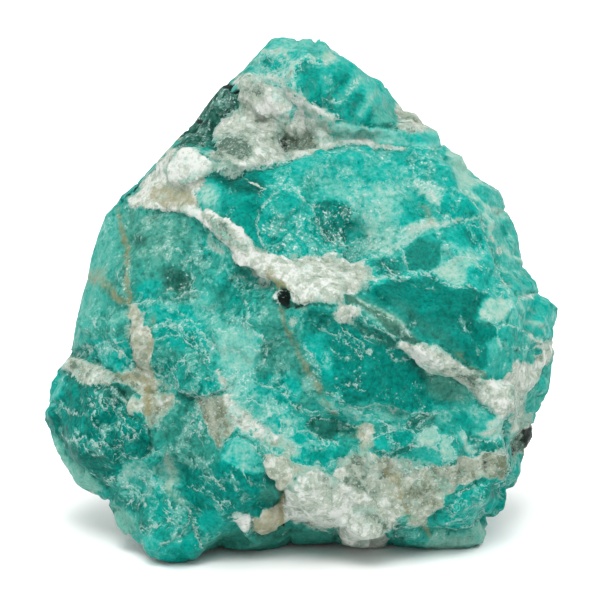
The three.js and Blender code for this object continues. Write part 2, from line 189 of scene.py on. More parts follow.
def split_edges(points, triangles, marked_edges, marked):
    """Puts a point in the middle of each marked edge, and divides the triangles beside it."""
    count = len(points)
    halves = marked_edges[marked]
    points = np.vstack([points, (points[halves[:, 0]] + points[halves[:, 1]]) / 2])
    keys = halves[:, 0] * count + halves[:, 1]
    order = np.argsort(keys)
    keys = keys[order]

    def middle(a, b):
        key = np.minimum(a, b) * count + np.maximum(a, b)
        at = np.clip(np.searchsorted(keys, key), 0, len(keys) - 1)
        return np.where(keys[at] == key, count + order[at], -1)

    a, b, c = triangles.T
    ab, bc, ca = middle(a, b), middle(b, c), middle(c, a)
    split = np.stack([ab, bc, ca], axis=1) >= 0
    made = [triangles[~split.any(1)]]
    whole = split.all(1)
    corners = [row[whole] for row in (a, b, c, ab, bc, ca)]
    for pick in ((0, 3, 5), (3, 1, 4), (5, 4, 2), (3, 4, 5)):
        made.append(np.stack([corners[k] for k in pick], axis=1))
    for turn in range(3):
        a, b, c, ab, bc, ca = b, c, a, bc, ca, ab
        one = (ab >= 0) & (bc < 0) & (ca < 0)
        made.append(np.stack([a[one], ab[one], c[one]], axis=1))
        made.append(np.stack([ab[one], b[one], c[one]], axis=1))
        two = (ab >= 0) & (bc >= 0) & (ca < 0)
        made.append(np.stack([ab[two], b[two], bc[two]], axis=1))
        made.append(np.stack([a[two], ab[two], bc[two]], axis=1))
        made.append(np.stack([a[two], bc[two], c[two]], axis=1))
    return points, np.concatenate(made)


def refine(points, triangles):
    """Divides the triangles until no edge is longer than wanted where it lies."""
    while True:
        edges = edges_of(triangles)
        facing = normals_of(points, triangles)[edges].mean(1) @ OUT
        wanted = mix(BACK_EDGE, FRONT_EDGE, smooth((facing + EDGE_TURN) / EDGE_BLEND))
        length = np.linalg.norm(points[edges[:, 0]] - points[edges[:, 1]], axis=1)
        marked = length > wanted
        if not marked.any():
            return points, triangles
        points, triangles = split_edges(points, triangles, edges, marked)


def onto_solid_nearest(solid, points):
    return np.array([tuple(solid.find_nearest(Vector(p))[0]) for p in points.tolist()])


def spread_points(points, edges, rounds, share=0.5):
    """The points drawn a share of the way to their neighbours' middle, which evens them out."""
    a, b = edges[:, 0], edges[:, 1]
    count = (np.bincount(a, minlength=len(points)) + np.bincount(b, minlength=len(points)))[:, None]
    for _ in range(rounds):
        around = np.zeros_like(points)
        for axis in range(points.shape[1]):
            around[:, axis] = np.bincount(a, points[b, axis], len(points))
            around[:, axis] += np.bincount(b, points[a, axis], len(points))
        points = points + share * (around / count - points)
    return points


def fair(points, edges, rounds):
    """Takes the small facets out and keeps the larger forms."""
    for _ in range(rounds):
        points = spread_points(points, edges, 1, 0.55)
        points = spread_points(points, edges, 1, -0.53)
    return points


def make_surface():
    corners, faces = solid_mesh()
    solid = BVHTree.FromPolygons(corners.tolist(), faces.tolist())
    points, triangles = refine(corners, faces)
    edges = edges_of(triangles)
    for _ in range(LAYINGS):
        points = onto_solid_nearest(solid, spread_points(points, edges, EVENING))
    return fair(points, edges, SMOOTHING), triangles, edges


# ---------------------------------------------------------------- the stone's parts, by where they show
# Every field is a smooth value at each point of the surface. The material turns them into colour.
FIELDS = {
    "tone": 0.47,  # 0 is near-black green, 0.5 full green, 1 pale sage
    "mute": 0.15,  # how far the green goes to a greyish brown-green
    "net": 0.35,  # mottling, with a fine pale net
    # sugar also stands in for painted sparkle highlights, through the white specks
    "sugar": 0.15,  # white specks
    "streak": 0.0,  # thin pale bands of perthite
    "quartz": -1.0,  # over 0 where there is quartz instead of green feldspar
    "grey": 0.3,  # how grey and glassy the quartz is
    "buff": 0.0,  # buff stain
    "dark": 0.0,  # black and dark green minerals
}
GREEN = {"quartz": -1.0, "buff": 0.0, "dark": 0.0}
QUARTZ = {"quartz": 1.0, "net": 0.3, "sugar": 0.4, "mute": 0.1, "dark": 0.0}

# Areas: outline in pixels of the picture, softness of the edge in pixels, and the fields inside.
# Later ones cover earlier ones.
AREAS = [
    # left body
    ("88,250 104,225 125,205 185,212 215,240 262,285 275,300 262,330 213,345 190,370 155,372 153,340 "
     "140,305 128,310 134,372 88,362 66,360 74,335 82,290", 5,
     {**GREEN, "tone": 0.47, "mute": 0.35, "net": 0.38, "sugar": 0.3}),
    ("86,262 98,232 118,212 122,240 112,262 100,290 96,340 78,344 76,320", 7, {"tone": 0.64, "net": 0.2}),
    ("118,212 160,212 190,225 175,262 130,262", 9, {"tone": 0.55, "mute": 0.6}),
    ("190,222 215,240 240,268 268,300 262,330 235,325 215,290 196,256", 7,
     {"tone": 0.46, "mute": 0.15, "net": 0.6}),
    ("160,270 180,266 190,278 185,290 166,291", 4, {"tone": 0.2, "mute": 0.45, "net": 0.2}),
    ("131,237 143,233 146,245 134,248", 4, {"tone": 0.25, "mute": 0.5}),
    ("135,288 150,278 160,284 156,298 140,304", 3, {"tone": 0.5, "mute": 0.0, "net": 0.3}),
    ("140,308 165,300 190,305 206,330 210,355 190,352 158,338", 6,
     {"tone": 0.54, "mute": 0.0, "net": 0.42}),
    ("189,300 206,288 222,312 228,330 212,332 200,318", 5, {"tone": 0.66, "mute": 0.2}),
    ("160,318 185,322 200,345 182,352 160,344", 4, {"tone": 0.48, "mute": 0.0, "net": 0.3}),
    ("213,345 225,330 240,326 255,333 262,345 258,362 246,371 232,372 218,364", 4,
     {"tone": 0.82, "mute": 0.15, "net": 0.15, "sugar": 0.15}),
    ("88,339 112,336 132,342 134,360 134,372 116,372 92,360", 3, {"tone": 0.53, "mute": 0.0, "net": 0.45}),
    # middle
    ("154,364 166,358 181,359 188,369 196,378 207,377 216,371 231,371 235,378 228,388 216,394 201,397 "
     "187,395 176,391 170,382 160,374", 2, {**GREEN, "tone": 0.43, "mute": 0.05, "net": 0.45}),
    ("262,300 285,310 300,330 305,358 318,378 326,394 300,408 280,400 262,385 250,372 262,345", 7,
     {**GREEN, "tone": 0.46, "mute": 0.4, "net": 0.55}),
    ("257,378 290,372 300,388 292,405 268,402", 4, {"tone": 0.5, "mute": 0.0, "net": 0.4}),
    ("215,372 250,372 262,390 285,405 300,420 290,440 262,432 236,420 225,400", 6,
     {**GREEN, "tone": 0.72, "mute": 0.15, "net": 0.7, "sugar": 0.4}),
    ("239,402 256,400 265,410 258,422 244,422", 4, {"tone": 0.64, "net": 0.2}),
    ("253,431 262,418 272,412 281,417 280,430 268,434", 2, {"tone": 0.56, "net": 0.2, "mute": 0.0}),
    # flecked block
    ("303,341 312,332 332,329 354,322 369,329 383,339 398,347 405,360 430,372 452,384 470,398 455,408 "
     "430,412 413,411 376,405 347,405 326,394 317,376 306,358", 4,
     {**GREEN, "tone": 0.36, "mute": 0.0, "net": 0.08, "sugar": 0.2}),
    ("300,338 318,334 330,352 332,378 320,376 306,358", 6, {"tone": 0.56, "net": 0.3}),
    ("302,312 320,310 334,316 330,328 312,330", 3, {**GREEN, "tone": 0.28, "mute": 0.1, "net": 0.3}),
    ("427,372 452,378 477,394 470,404 448,404 430,395", 6,
     {"tone": 0.52, "mute": 0.6, "net": 0.2, "sugar": 0.1}),
    ("338,406 365,402 400,408 420,411 412,420 372,424 345,420", 4,
     {"tone": 0.72, "mute": 0.2, "net": 0.4}),
    # upper block
    ("202,174 250,166 300,152 345,144 400,148 440,148 452,162 464,186 478,212 490,238 502,265 512,290 "
     "508,322 500,345 490,375 462,364 430,340 396,315 372,300 372,285 362,262 330,256 300,257 270,255 "
     "240,228 212,205", 4, {**GREEN, "tone": 0.6, "mute": 0.05, "net": 0.45, "sugar": 0.35}),
    ("202,175 215,174 235,171 262,166 274,180 270,196 262,210 259,225 262,245 255,237 240,226 225,212 "
     "212,200", 2, {"tone": 0.43, "net": 0.12, "sugar": 0.2, "mute": 0.0}),
    ("216,177 240,173 256,175 264,186 262,198 246,197 230,190", 3, {"tone": 0.24, "mute": 0}),
    ("194,186 206,180 216,188 222,204 214,212 204,206", 4, {"tone": 0.8, "mute": 0.15}),
    ("276,190 288,188 300,200 316,208 318,228 330,246 322,254 300,256 270,253 262,235 262,215 268,202", 4,
     {"tone": 0.52, "net": 0.5, "sugar": 0.5}),
    ("290,172 312,176 330,186 328,198 308,196 296,184", 4, {"tone": 0.48, "net": 0.5, "mute": 0.15}),
    ("314,205 334,198 350,208 356,225 358,240 345,247 326,241 315,225", 3,
     {"tone": 0.36, "mute": 0.05, "net": 0.3, "sugar": 0.6}),
    ("330,240 358,240 366,252 352,262 332,256", 3, {"tone": 0.48, "net": 0.6}),
    ("300,165 340,155 400,152 424,160 418,176 392,190 360,196 336,188 316,178", 6,
     {"tone": 0.64, "net": 0.4, "sugar": 0.25}),
    ("398,156 432,158 444,178 430,182 408,176", 5, {"tone": 0.52, "net": 0.35, "sugar": 0.4}),
    ("322,186 350,190 380,190 400,186 412,196 402,216 388,228 370,226 358,212 345,202", 5,
     {"tone": 0.82, "mute": 0.1, "net": 0.35, "sugar": 0.3}),
    ("356,222 384,226 404,232 400,250 386,262 368,262 360,244", 5,
     {"tone": 0.74, "mute": 0.3, "net": 0.8, "sugar": 0.4}),
    ("398,205 410,196 424,204 432,214 420,226 406,222", 4, {"tone": 0.56, "net": 0.3}),
    ("408,212 420,206 424,218 412,224", 3, {"tone": 0.47, "net": 0.2, "mute": 0.0}),
    ("442,200 456,197 470,208 474,218 458,222 444,216 436,210", 3,
     {"tone": 0.5, "net": 0.25, "mute": 0.0}),
    ("455,226 470,222 482,230 482,246 470,244 458,238", 3, {"tone": 0.5, "net": 0.3, "mute": 0.0}),
    ("437,228 455,228 462,242 470,250 452,250 440,240", 4, {"tone": 0.54, "net": 0.4, "mute": 0.0}),
    ("440,243 462,246 484,250 488,262 478,266 460,262 440,262", 5, {"tone": 0.74, "net": 0.6}),
    ("404,248 412,240 424,236 438,238 438,262 432,273 410,272 402,262", 3,
     {"tone": 0.38, "net": 0.05, "sugar": 0.1, "mute": 0.1}),
    ("370,262 384,256 400,258 403,270 396,278 376,276", 3,
     {"tone": 0.33, "net": 0.3, "mute": 0.1, "sugar": 0.3}),
    ("429,271 442,265 455,258 472,259 474,265 463,274 470,283 454,286 444,280", 2,
     {"tone": 0.86, "mute": 0.25, "net": 0.2, "sugar": 0.2}),
    ("474,262 480,255 490,258 500,272 506,288 496,292 482,290 472,280", 3, {"tone": 0.58, "net": 0.15}),
    ("375,288 389,280 419,277 430,275 442,281 455,286 470,286 485,294 489,299 482,309 480,318 492,321 "
     "499,325 498,335 492,352 486,366 464,362 448,350 430,336 411,327 397,315 375,302 369,296", 3,
     {"tone": 0.34, "mute": 0.0, "net": 0.03, "sugar": 0.0}),
    ("430,300 450,296 470,304 474,318 456,322 436,318", 8, {"tone": 0.3}),
    ("386,300 404,306 424,318 446,334 460,348 448,346 428,332 404,318", 5, {"tone": 0.33, "mute": 0.3}),
    ("487,345 500,340 516,345 512,368 500,380 488,372", 3,
     {**GREEN, "tone": 0.6, "mute": 0.15, "net": 0.1}),
    ("485,300 496,297 507,300 509,310 505,321 499,322 490,319 481,317 482,308", 1.6,
     {"tone": 0.95, "mute": 0.3, "net": 0.1, "sugar": 0.1}),
    ("416,179 422,183 433,183 442,188 444,193 440,198 442,204 437,208 432,202 426,195 418,189 411,187", 2.5,
     {"tone": 0.9, "net": 0.8, "sugar": 0.6, "quartz": -0.1, "grey": 0.15, "mute": 0.1}),
    # right flank
    ("442,145 452,148 470,158 486,182 506,208 516,240 526,270 538,288 560,302 558,330 556,344 532,345 "
     "512,342 508,322 510,300 500,262 488,233 476,209 463,186 448,160", 3,
     {**GREEN, "tone": 0.67, "mute": 0.15, "net": 0.3, "streak": 0.6, "sugar": 0.1}),
    ("446,150 462,152 472,166 480,178 484,187 471,189 463,186 454,168", 3,
     {"tone": 0.88, "mute": 0.35, "net": 0.15, "streak": 0.3}),
    ("470,190 484,184 496,190 506,208 498,210 482,206", 4, {"tone": 0.56, "mute": 0.1}),
    ("488,212 506,212 508,222 498,228", 4, {"tone": 0.78, "mute": 0.35}),
    ("498,222 510,220 515,234 506,240", 4, {"tone": 0.5, "mute": 0.0}),
    ("504,238 518,236 520,256 510,258", 4, {"tone": 0.62, "mute": 0.2}),
    ("513,268 526,268 538,286 532,294 518,288", 4, {"tone": 0.56, "mute": 0.15}),
    ("518,300 538,293 558,306 555,326 552,338 538,339 526,326 519,312", 3,
     {"tone": 0.6, "mute": 0.0, "streak": 0.4, "net": 0.2}),
    ("500,325 512,326 530,338 533,352 528,364 514,362 502,350", 3,
     {"tone": 0.52, "net": 0.5, "streak": 0.3}),
    # top crystal
    ("247,66 260,50 272,34 330,34 366,68 396,96 400,112 397,125 360,123 334,118 322,110 309,107 301,97 "
     "275,88 258,81 248,78", 3,
     {**GREEN, "tone": 0.6, "mute": 0.05, "net": 0.12, "sugar": 0.05, "streak": 0.25}),
    ("266,44 272,36 330,36 345,52 350,60 320,56 296,58 276,58", 6,
     {"tone": 0.72, "mute": 0.15, "net": 0.25}),
    ("292,62 302,58 310,70 306,80 296,78", 4, {"tone": 0.47, "mute": 0.0}),
    ("304,50 318,48 322,56 308,58", 4, {"tone": 0.5, "mute": 0.1}),
    ("334,74 352,68 350,80 336,98 326,92", 5, {"tone": 0.46, "mute": 0.0, "net": 0.1}),
    ("300,84 320,90 330,100 352,108 374,114 374,123 340,122 322,112 306,102", 4,
     {"tone": 0.37, "mute": 0.0, "net": 0.1}),
    ("344,92 366,92 362,108 358,120 340,112", 5, {"tone": 0.47, "mute": 0.0, "net": 0.05}),
    ("364,104 374,110 372,124 358,122", 4, {"tone": 0.44, "mute": 0.0}),
    ("374,104 398,98 399,114 396,126 374,124", 4, {"tone": 0.58, "mute": 0.35, "net": 0.05}),
    ("354,72 372,80 390,94 380,100 364,90 350,82", 5, {"tone": 0.68, "mute": 0.1, "streak": 0.8}),
    ("248,64 262,54 276,62 290,66 298,84 304,98 290,94 276,86 256,80", 5,
     {"tone": 0.62, "net": 1.0, "sugar": 0.35, "quartz": -0.35}),
    ("258,66 268,62 274,70 266,76", 3, {"tone": 0.52, "net": 0.2}),
    ("262,80 288,82 292,92 276,88", 3, {"tone": 0.62, "net": 0.5}),
    # shelf under it: pale of its own, and painted lighter as painted light on its upward face
    ("326,125 345,122 365,125 398,127 420,128 438,131 444,146 425,148 400,146 380,142 362,142 342,145 "
     "328,142", 2, {**GREEN, "tone": 0.86, "mute": 0.0, "net": 0.15, "streak": 0.5, "sugar": 0.1}),
    ("400,134 425,132 438,136 436,144 412,144", 3, {"tone": 0.6}),
    # white and grey quartz on the upper left
    ("232,86 238,80 248,77 262,82 280,88 292,94 301,98 309,107 322,110 334,118 326,126 328,140 345,143 "
     "362,142 362,146 340,148 318,151 300,155 270,164 250,168 232,171 214,173 206,168 214,160 214,150 "
     "211,140 212,122 224,114 240,110 234,98", 2, {**QUARTZ, "grey": 0.3}),
    ("262,88 280,92 300,102 322,112 334,120 326,128 304,122 292,126 276,118 262,104", 5,
     {"grey": 0.1, "quartz": 0.0, "tone": 0.74, "net": 0.8, "sugar": 0.3}),
    ("262,98 276,96 286,108 280,116 268,112", 4, {"grey": 0.1, "quartz": 0.9}),
    ("212,124 222,116 236,112 258,112 272,117 278,128 283,142 291,154 288,157 270,162 240,168 222,171 "
     "212,165", 2, {**QUARTZ, "grey": 0.35, "sugar": 0.25}),
    ("216,140 226,136 246,138 256,146 254,156 242,162 226,160 218,152", 3, {"grey": 1.0}),
    ("246,92 260,92 264,100 252,102", 3, {"grey": 0.8}),
    ("281,120 292,120 292,128 282,130", 3, {"grey": 0.9, "mute": 0.6}),
    ("281,131 296,134 312,134 320,140 319,150 304,151 290,149 284,142", 2,
     {**QUARTZ, "grey": 1.0, "dark": 0.22, "buff": 0.25}),
    ("320,126 332,126 340,140 334,147 322,150", 3, {"grey": 0.4, "quartz": 0.1, "tone": 0.7, "net": 0.7}),
    # dark strip on the upper left
    ("190,122 214,88 226,80 234,90 237,104 238,110 220,117 212,122 211,138 206,148 190,146 178,160 "
     "170,160", 2, {**GREEN, "tone": 0.2, "mute": 0.7, "net": 0.5, "sugar": 0.45, "dark": 0.15}),
    ("206,143 216,142 217,150 208,151", 1.6, {"tone": 0.2, "quartz": -1.0, "mute": 0.2}),
    ("166,173 172,163 180,156 190,152 199,153 206,160 210,169 205,175 196,175 185,178 172,181", 1.6,
     {**QUARTZ, "grey": 0.0, "sugar": 0.25}),
    ("160,160 172,150 180,152 172,164 162,176 148,184 140,182", 2, {**QUARTZ, "grey": 0.2}),
    ("128,198 140,186 160,176 185,180 204,178 200,188 190,196 184,210 160,209 136,208 130,205", 2,
     {**QUARTZ, "grey": 0.2, "buff": 0.2}),
    ("150,190 168,188 186,190 198,196 197,207 180,210 160,206 150,200", 3,
     {**QUARTZ, "grey": 0.35, "buff": 0.75}),
    ("128,198 140,189 150,189 149,199 137,207 131,205", 1.6, {**QUARTZ, "grey": 0.0}),
    ("396,102 412,104 430,116 440,126 440,132 416,130 397,126", 2, {**QUARTZ, "grey": 0.35, "buff": 0.1}),
    ("404,112 420,116 430,124 412,122", 2, {"grey": 0.9, "buff": 0.35}),
    # the long vein's swelling in the middle
    ("236,243 251,242 263,250 276,256 290,259 303,256 317,259 329,254 336,260 353,262 363,262 369,273 "
     "376,280 361,285 354,295 339,300 329,303 317,301 307,307 291,300 285,290 273,282 262,284 248,274 "
     "232,256", 1.8, {**QUARTZ, "grey": 0.24, "sugar": 0.5}),
    ("322,268 350,262 364,268 366,280 350,290 330,284", 6, {"grey": 0.3, "buff": 0.2}),
    ("334,306 346,303 358,307 360,314 352,322 340,324 334,316", 2,
     {**QUARTZ, "quartz": 0.5, "grey": 0.35}),
    ("287,315 295,313 299,320 294,327 287,324", 2, {**QUARTZ, "quartz": 0.4, "grey": 0.2}),
    # and its lower right end
    ("397,343 414,341 433,343 444,349 453,357 464,364 477,373 484,379 501,380 512,373 513,361 518,364 "
     "528,362 533,352 532,342 556,340 554,356 548,367 538,370 536,384 531,394 520,404 511,410 505,420 "
     "499,417 491,414 483,407 475,403 469,390 456,382 445,376 434,371 432,376 426,370 414,367 405,359 "
     "399,349", 1.8, {**QUARTZ, "grey": 0.35, "sugar": 0.6}),
    ("406,350 420,348 430,356 426,366 412,364", 3, {"grey": 0.0}),
    ("452,366 462,366 476,376 483,384 472,388 458,380", 3, {"grey": 1.0, "dark": 0.35, "buff": 0.1}),
    ("498,400 506,392 510,404 504,418 498,412", 2, {"grey": 0.0}),
    ("536,368 552,364 552,384 544,396 537,392", 3, {**GREEN, "tone": 0.57, "streak": 0.6, "mute": 0.15}),
    ("510,394 536,390 546,398 534,424 528,432 512,436 506,424", 3,
     {**QUARTZ, "quartz": 0.25, "grey": 0.5, "streak": 0.5, "tone": 0.6, "mute": 0.4}),
    ("528,392 536,388 544,398 534,416 526,410", 3, {**GREEN, "tone": 0.52, "mute": 0.2}),
    # lower right
    ("434,404 456,402 478,406 492,414 500,420 500,434 478,436 462,434 446,432 436,424", 3,
     {**GREEN, "tone": 0.57, "mute": 0.15, "net": 0.35, "sugar": 0.15}),
    ("458,410 470,412 472,424 462,430 454,420", 4, {"tone": 0.45, "net": 0.1, "mute": 0.0}),
    ("488,416 498,417 500,428 490,430", 2, {"tone": 0.48, "net": 0.2, "mute": 0.0}),
    ("472,438 486,437 504,436 506,448 486,456 476,456", 2,
     {**GREEN, "tone": 0.42, "mute": 0.15, "net": 0.2}),
    ("410,418 424,414 437,416 432,428 420,430 410,426", 2,
     {**GREEN, "tone": 0.33, "mute": 0.3, "net": 0.3}),
    ("412,446 424,446 440,448 444,460 436,465 418,462", 2, {**GREEN, "tone": 0.58, "net": 0.15}),
    ("452,440 462,444 468,456 460,458 454,450", 2, {**GREEN, "tone": 0.5, "net": 0.15}),
    ("370,456 378,455 391,457 404,461 414,465 442,466 456,460 472,460 481,458 484,474 474,481 456,485 "
     "448,495 440,507 429,514 426,528 410,530 405,521 414,514 397,514 391,525 383,514 376,500 370,490", 3,
     {**QUARTZ, "grey": 0.6, "buff": 0.4, "sugar": 0.8}),
    ("404,464 418,464 424,474 414,480 404,474", 4,
     {"quartz": 0.1, "tone": 0.72, "mute": 0.5, "buff": 0.1}),
    ("433,477 444,476 446,486 436,488", 3, {"quartz": -0.4, "tone": 0.56, "mute": 0.5}),
    ("390,458 400,458 402,470 392,471", 3, {"grey": 0.1, "buff": 0.1}),
    ("373,443 386,432 401,427 410,427 418,432 417,439 410,447 401,452 390,454 378,450", 1.6,
     {**GREEN, "tone": 0.44, "mute": 0.0, "net": 0.15, "sugar": 0.1}),
    ("373,443 384,436 388,448 378,450", 3, {"tone": 0.62}),
    ("417,436 424,430 434,428 440,439 434,446 424,446 417,447", 1.6,
     {**GREEN, "tone": 0.9, "mute": 0.35, "net": 0.15}),
    ("438,434 450,439 456,455 450,460 442,457 440,447", 1.6,
     {**GREEN, "tone": 0.9, "mute": 0.3, "net": 0.2}),
    ("456,434 466,434 472,447 476,458 468,453 462,444", 1.6,
     {**GREEN, "tone": 0.92, "mute": 0.25, "net": 0.2}),
    ("478,460 484,452 504,451 507,458 506,474 484,477", 1.8,
     {**QUARTZ, "grey": 0.8, "buff": 0.45, "dark": 0.3, "sugar": 0.6}),
    ("482,462 490,460 488,470 482,470", 1.6, {"dark": 0.6}),
    ("506,460 514,456 524,450 524,474 518,490 508,494", 2,
     {**GREEN, "tone": 0.56, "streak": 0.5, "mute": 0.15}),
    ("508,464 512,442 520,431 531,426 535,436 526,450 515,460", 1.8,
     {**QUARTZ, "grey": 1.0, "dark": 0.5, "streak": 0.4}),
    ("522,433 532,430 536,440 526,444", 1.6, {"dark": 1.0}),
    ("434,518 445,513 456,494 466,489 481,486 485,479 504,479 508,495 506,506 496,516 487,524 477,530 "
     "456,535 446,530", 2, {**GREEN, "tone": 0.52, "mute": 0.0, "net": 0.5, "sugar": 0.35}),
    ("484,486 496,482 505,487 505,500 494,504 485,498", 2.5, {"tone": 0.38, "net": 0.05, "sugar": 0.05}),
    ("420,548 434,534 456,537 474,530 488,522 490,530 486,543 470,549 445,552", 2,
     {**GREEN, "tone": 0.8, "mute": 0.4, "net": 0.15}),
    ("394,540 398,529 412,526 428,528 430,540 420,550 400,550", 2,
     {**GREEN, "tone": 0.54, "mute": 0.25, "net": 0.3}),
    ("390,522 400,519 404,530 394,534", 1.8, {**GREEN, "tone": 0.27, "mute": 0.3}),
    # lower middle
    ("195,398 210,394 222,399 227,409 228,418 234,428 229,436 223,441 222,453 213,446 206,434 199,422 "
     "195,410", 2.5, {**QUARTZ, "grey": 0.75, "buff": 0.45, "sugar": 0.7}),
    ("160,410 178,398 194,402 200,424 214,448 224,462 200,466 178,468 160,460 150,440", 5,
     {**GREEN, "tone": 0.42, "mute": 0.35, "net": 0.4, "sugar": 0.2}),
    ("178,468 201,465 225,463 242,471 253,468 262,478 272,488 272,508 245,514 234,520 216,525 198,530 "
     "190,513 181,490", 3, {**GREEN, "tone": 0.37, "mute": 0.0, "net": 0.2, "sugar": 0.1}),
    ("225,440 234,435 245,440 256,448 264,459 266,471 256,475 242,472 231,466 223,459", 1.8,
     {**GREEN, "tone": 0.78, "mute": 0.05, "net": 0.3, "sugar": 0.15}),
    ("284,435 300,430 312,432 322,442 336,444 338,458 330,468 312,468 296,464 286,450", 2.5,
     {**GREEN, "tone": 0.55, "mute": 0.0, "net": 0.5}),
    ("306,454 322,452 326,466 310,468", 3, {"tone": 0.48, "net": 0.1}),
    ("308,423 319,417 332,418 345,423 358,428 359,435 345,439 336,436 328,443 319,440 312,431", 2.5,
     {**GREEN, "tone": 0.27, "mute": 0.3, "net": 0.35}),
    ("362,428 372,424 376,434 372,446 364,448 360,438", 2.5, {**QUARTZ, "grey": 0.3, "buff": 0.45}),
    ("262,455 272,453 286,455 291,465 306,469 299,473 294,482 286,491 281,491 272,486 266,481 261,467", 1.6,
     {**QUARTZ, "grey": 0.2, "buff": 0.35, "sugar": 0.3}),
    ("341,462 351,454 364,449 374,454 383,469 387,480 383,491 370,494 358,492 345,487 335,478 338,469", 2.5,
     {**QUARTZ, "grey": 0.62, "sugar": 0.4, "buff": 0.15}),
    ("345,486 370,488 392,500 396,520 386,526 372,512 350,512 340,500", 3,
     {**QUARTZ, "grey": 0.45, "sugar": 0.35, "buff": 0.15}),
    ("299,472 313,469 328,473 336,481 345,488 368,496 368,504 352,508 358,514 366,506 378,514 383,527 "
     "390,537 383,549 368,552 351,551 336,546 330,536 319,534 306,531 294,527 284,520 279,504 284,493 "
     "294,483", 1.6, {**QUARTZ, "grey": 0.15, "sugar": 0.35}),
    ("300,474 314,472 328,476 334,490 320,498 302,494", 5, {"grey": 0.28}),
    ("322,498 346,494 352,508 344,522 326,516", 5, {"grey": 0.0}),
    ("364,507 377,514 383,527 380,534 366,520", 4, {"grey": 0.7}),
    ("254,518 261,513 270,509 280,508 284,515 283,524 277,532 268,536 259,535 252,527", 1.6,
     {**QUARTZ, "grey": 0.15, "buff": 0.8, "sugar": 0.3}),
    ("233,514 244,512 253,518 252,528 242,530 234,524", 2, {**QUARTZ, "quartz": 0.5, "grey": 0.15}),
    ("261,490 272,488 281,495 281,502 275,508 267,506 260,500", 1.6,
     {**GREEN, "tone": 0.37, "mute": 0.4, "net": 0.05}),
    ("196,552 220,536 250,535 280,534 302,524 320,530 332,532 340,544 350,552 300,556 240,556", 2,
     {**GREEN, "tone": 0.46, "mute": 0.45, "net": 0.15, "sugar": 0.05}),
    # lower left block
    ("59,368 68,378 75,386 87,391 103,388 119,388 122,405 128,416 140,418 149,431 149,449 141,456 122,465 "
     "119,481 110,487 96,481 84,469 69,454 60,444 48,431 42,414 47,396 52,381", 2.5,
     {**GREEN, "tone": 0.34, "mute": 0.0, "net": 0.3, "sugar": 0.25}),
    ("66,446 84,444 102,458 104,474 90,472 76,460", 6, {"tone": 0.28, "net": 0.08}),
    ("112,432 130,430 144,436 144,448 128,452", 5, {"tone": 0.3}),
    ("103,390 116,390 120,404 108,408", 3, {"tone": 0.27, "mute": 0.2}),
    ("50,372 60,372 64,392 54,400 48,412", 4, {"tone": 0.6, "mute": 0.1}),
    ("50,432 62,440 69,454 84,469 96,481 105,496 88,492 76,486 66,472 56,460 48,446", 2,
     {**GREEN, "tone": 0.74, "mute": 0.45, "net": 0.1, "sugar": 0.05}),
    ("119,456 141,456 160,440 176,462 180,490 190,513 198,530 204,546 190,552 150,540 128,508 110,488 "
     "119,480", 4, {**GREEN, "tone": 0.5, "mute": 0.15, "net": 0.5, "sugar": 0.22}),
    ("120,468 132,460 144,456 148,468 134,476 122,482", 3, {"tone": 0.76, "net": 0.7, "sugar": 0.3}),
    ("110,496 128,512 140,530 150,534 160,524 146,506 128,496", 4, {"tone": 0.36, "net": 0.15}),
    ("106,498 122,509 135,514 146,527 140,540 126,538 116,526 108,508", 2.5,
     {**GREEN, "tone": 0.7, "mute": 0.5, "net": 0.05, "sugar": 0.05}),
    ("130,538 146,528 166,540 160,552 170,566 148,564 134,552", 3,
     {"tone": 0.66, "mute": 0.1, "net": 0.2}),
    ("160,548 178,535 194,531 200,543 196,554 176,566 162,560", 2,
     {**GREEN, "tone": 0.51, "mute": 0.0, "net": 0.12}),
    # left seam
    ("128,307 135,304 141,310 146,327 153,341 155,353 152,365 146,374 137,374 135,362 134,349 132,334 "
     "127,316", 1.8, {**QUARTZ, "grey": 0.5, "buff": 0.5, "sugar": 0.3}),
    ("64,362 70,352 75,354 88,361 103,366 116,373 122,375 137,372 143,377 134,384 119,386 110,386 99,386 "
     "88,392 82,386 76,381 66,373", 1.8, {**QUARTZ, "grey": 0.4, "buff": 0.2, "sugar": 0.6}),
    ("119,374 137,371 149,371 157,380 168,387 176,401 172,406 166,413 157,422 151,427 146,422 140,412 "
     "143,405 141,399 134,394 128,386", 2, {**QUARTZ, "grey": 0.5, "buff": 0.4, "sugar": 0.6}),
    ("121,394 134,396 141,403 137,413 128,415 123,405", 2, {**QUARTZ, "grey": 0.55, "buff": 0.35}),
    ("120,387 128,385 136,389 140,397 134,394 124,394", 1.6, {**GREEN, "tone": 0.28, "mute": 0.5}),
    ("156,386 162,384 166,392 160,396", 1.6, {**GREEN, "tone": 0.4, "mute": 0.6}),
    ("71,363 80,364 88,370 84,381 74,378", 3, {"grey": 1.0}),
    # smaller islands and gaps
    ("150,462 164,456 176,466 178,484 166,492 152,486", 4, {"tone": 0.7, "net": 0.6, "mute": 0.1}),
    ("196,468 222,466 228,480 214,492 198,486", 4, {"tone": 0.34}),
    ("318,396 340,396 346,406 334,412 318,408", 3, {"tone": 0.66, "net": 0.5}),
    ("344,226 362,224 366,240 354,246 344,240", 3, {"tone": 0.6, "net": 0.5}),
    ("318,224 338,222 344,238 334,246 322,242", 3, {"tone": 0.34, "mute": 0.15, "net": 0.3}),
    ("466,246 484,250 488,262 474,264 464,256", 3, {"tone": 0.85}),
    ("486,424 500,418 506,426 502,440 490,440", 2, {"tone": 0.97, "mute": 0.2, "net": 0.3}),
    ("200,512 222,514 226,530 206,534 198,528", 3, {"tone": 0.52}),
    ("296,66 312,64 322,72 318,88 322,104 314,108 304,98 297,84", 3, {"tone": 0.43, "mute": 0.0}),
    ("208,157 217,155 230,163 240,169 226,172 212,170", 2,
     {"grey": 0.8, "mute": 0.6, "quartz": 0.4, "tone": 0.4}),
    ("320,182 332,178 346,184 348,194 336,198 323,192", 4, {"tone": 0.76, "mute": 0.2, "net": 0.4}),
]

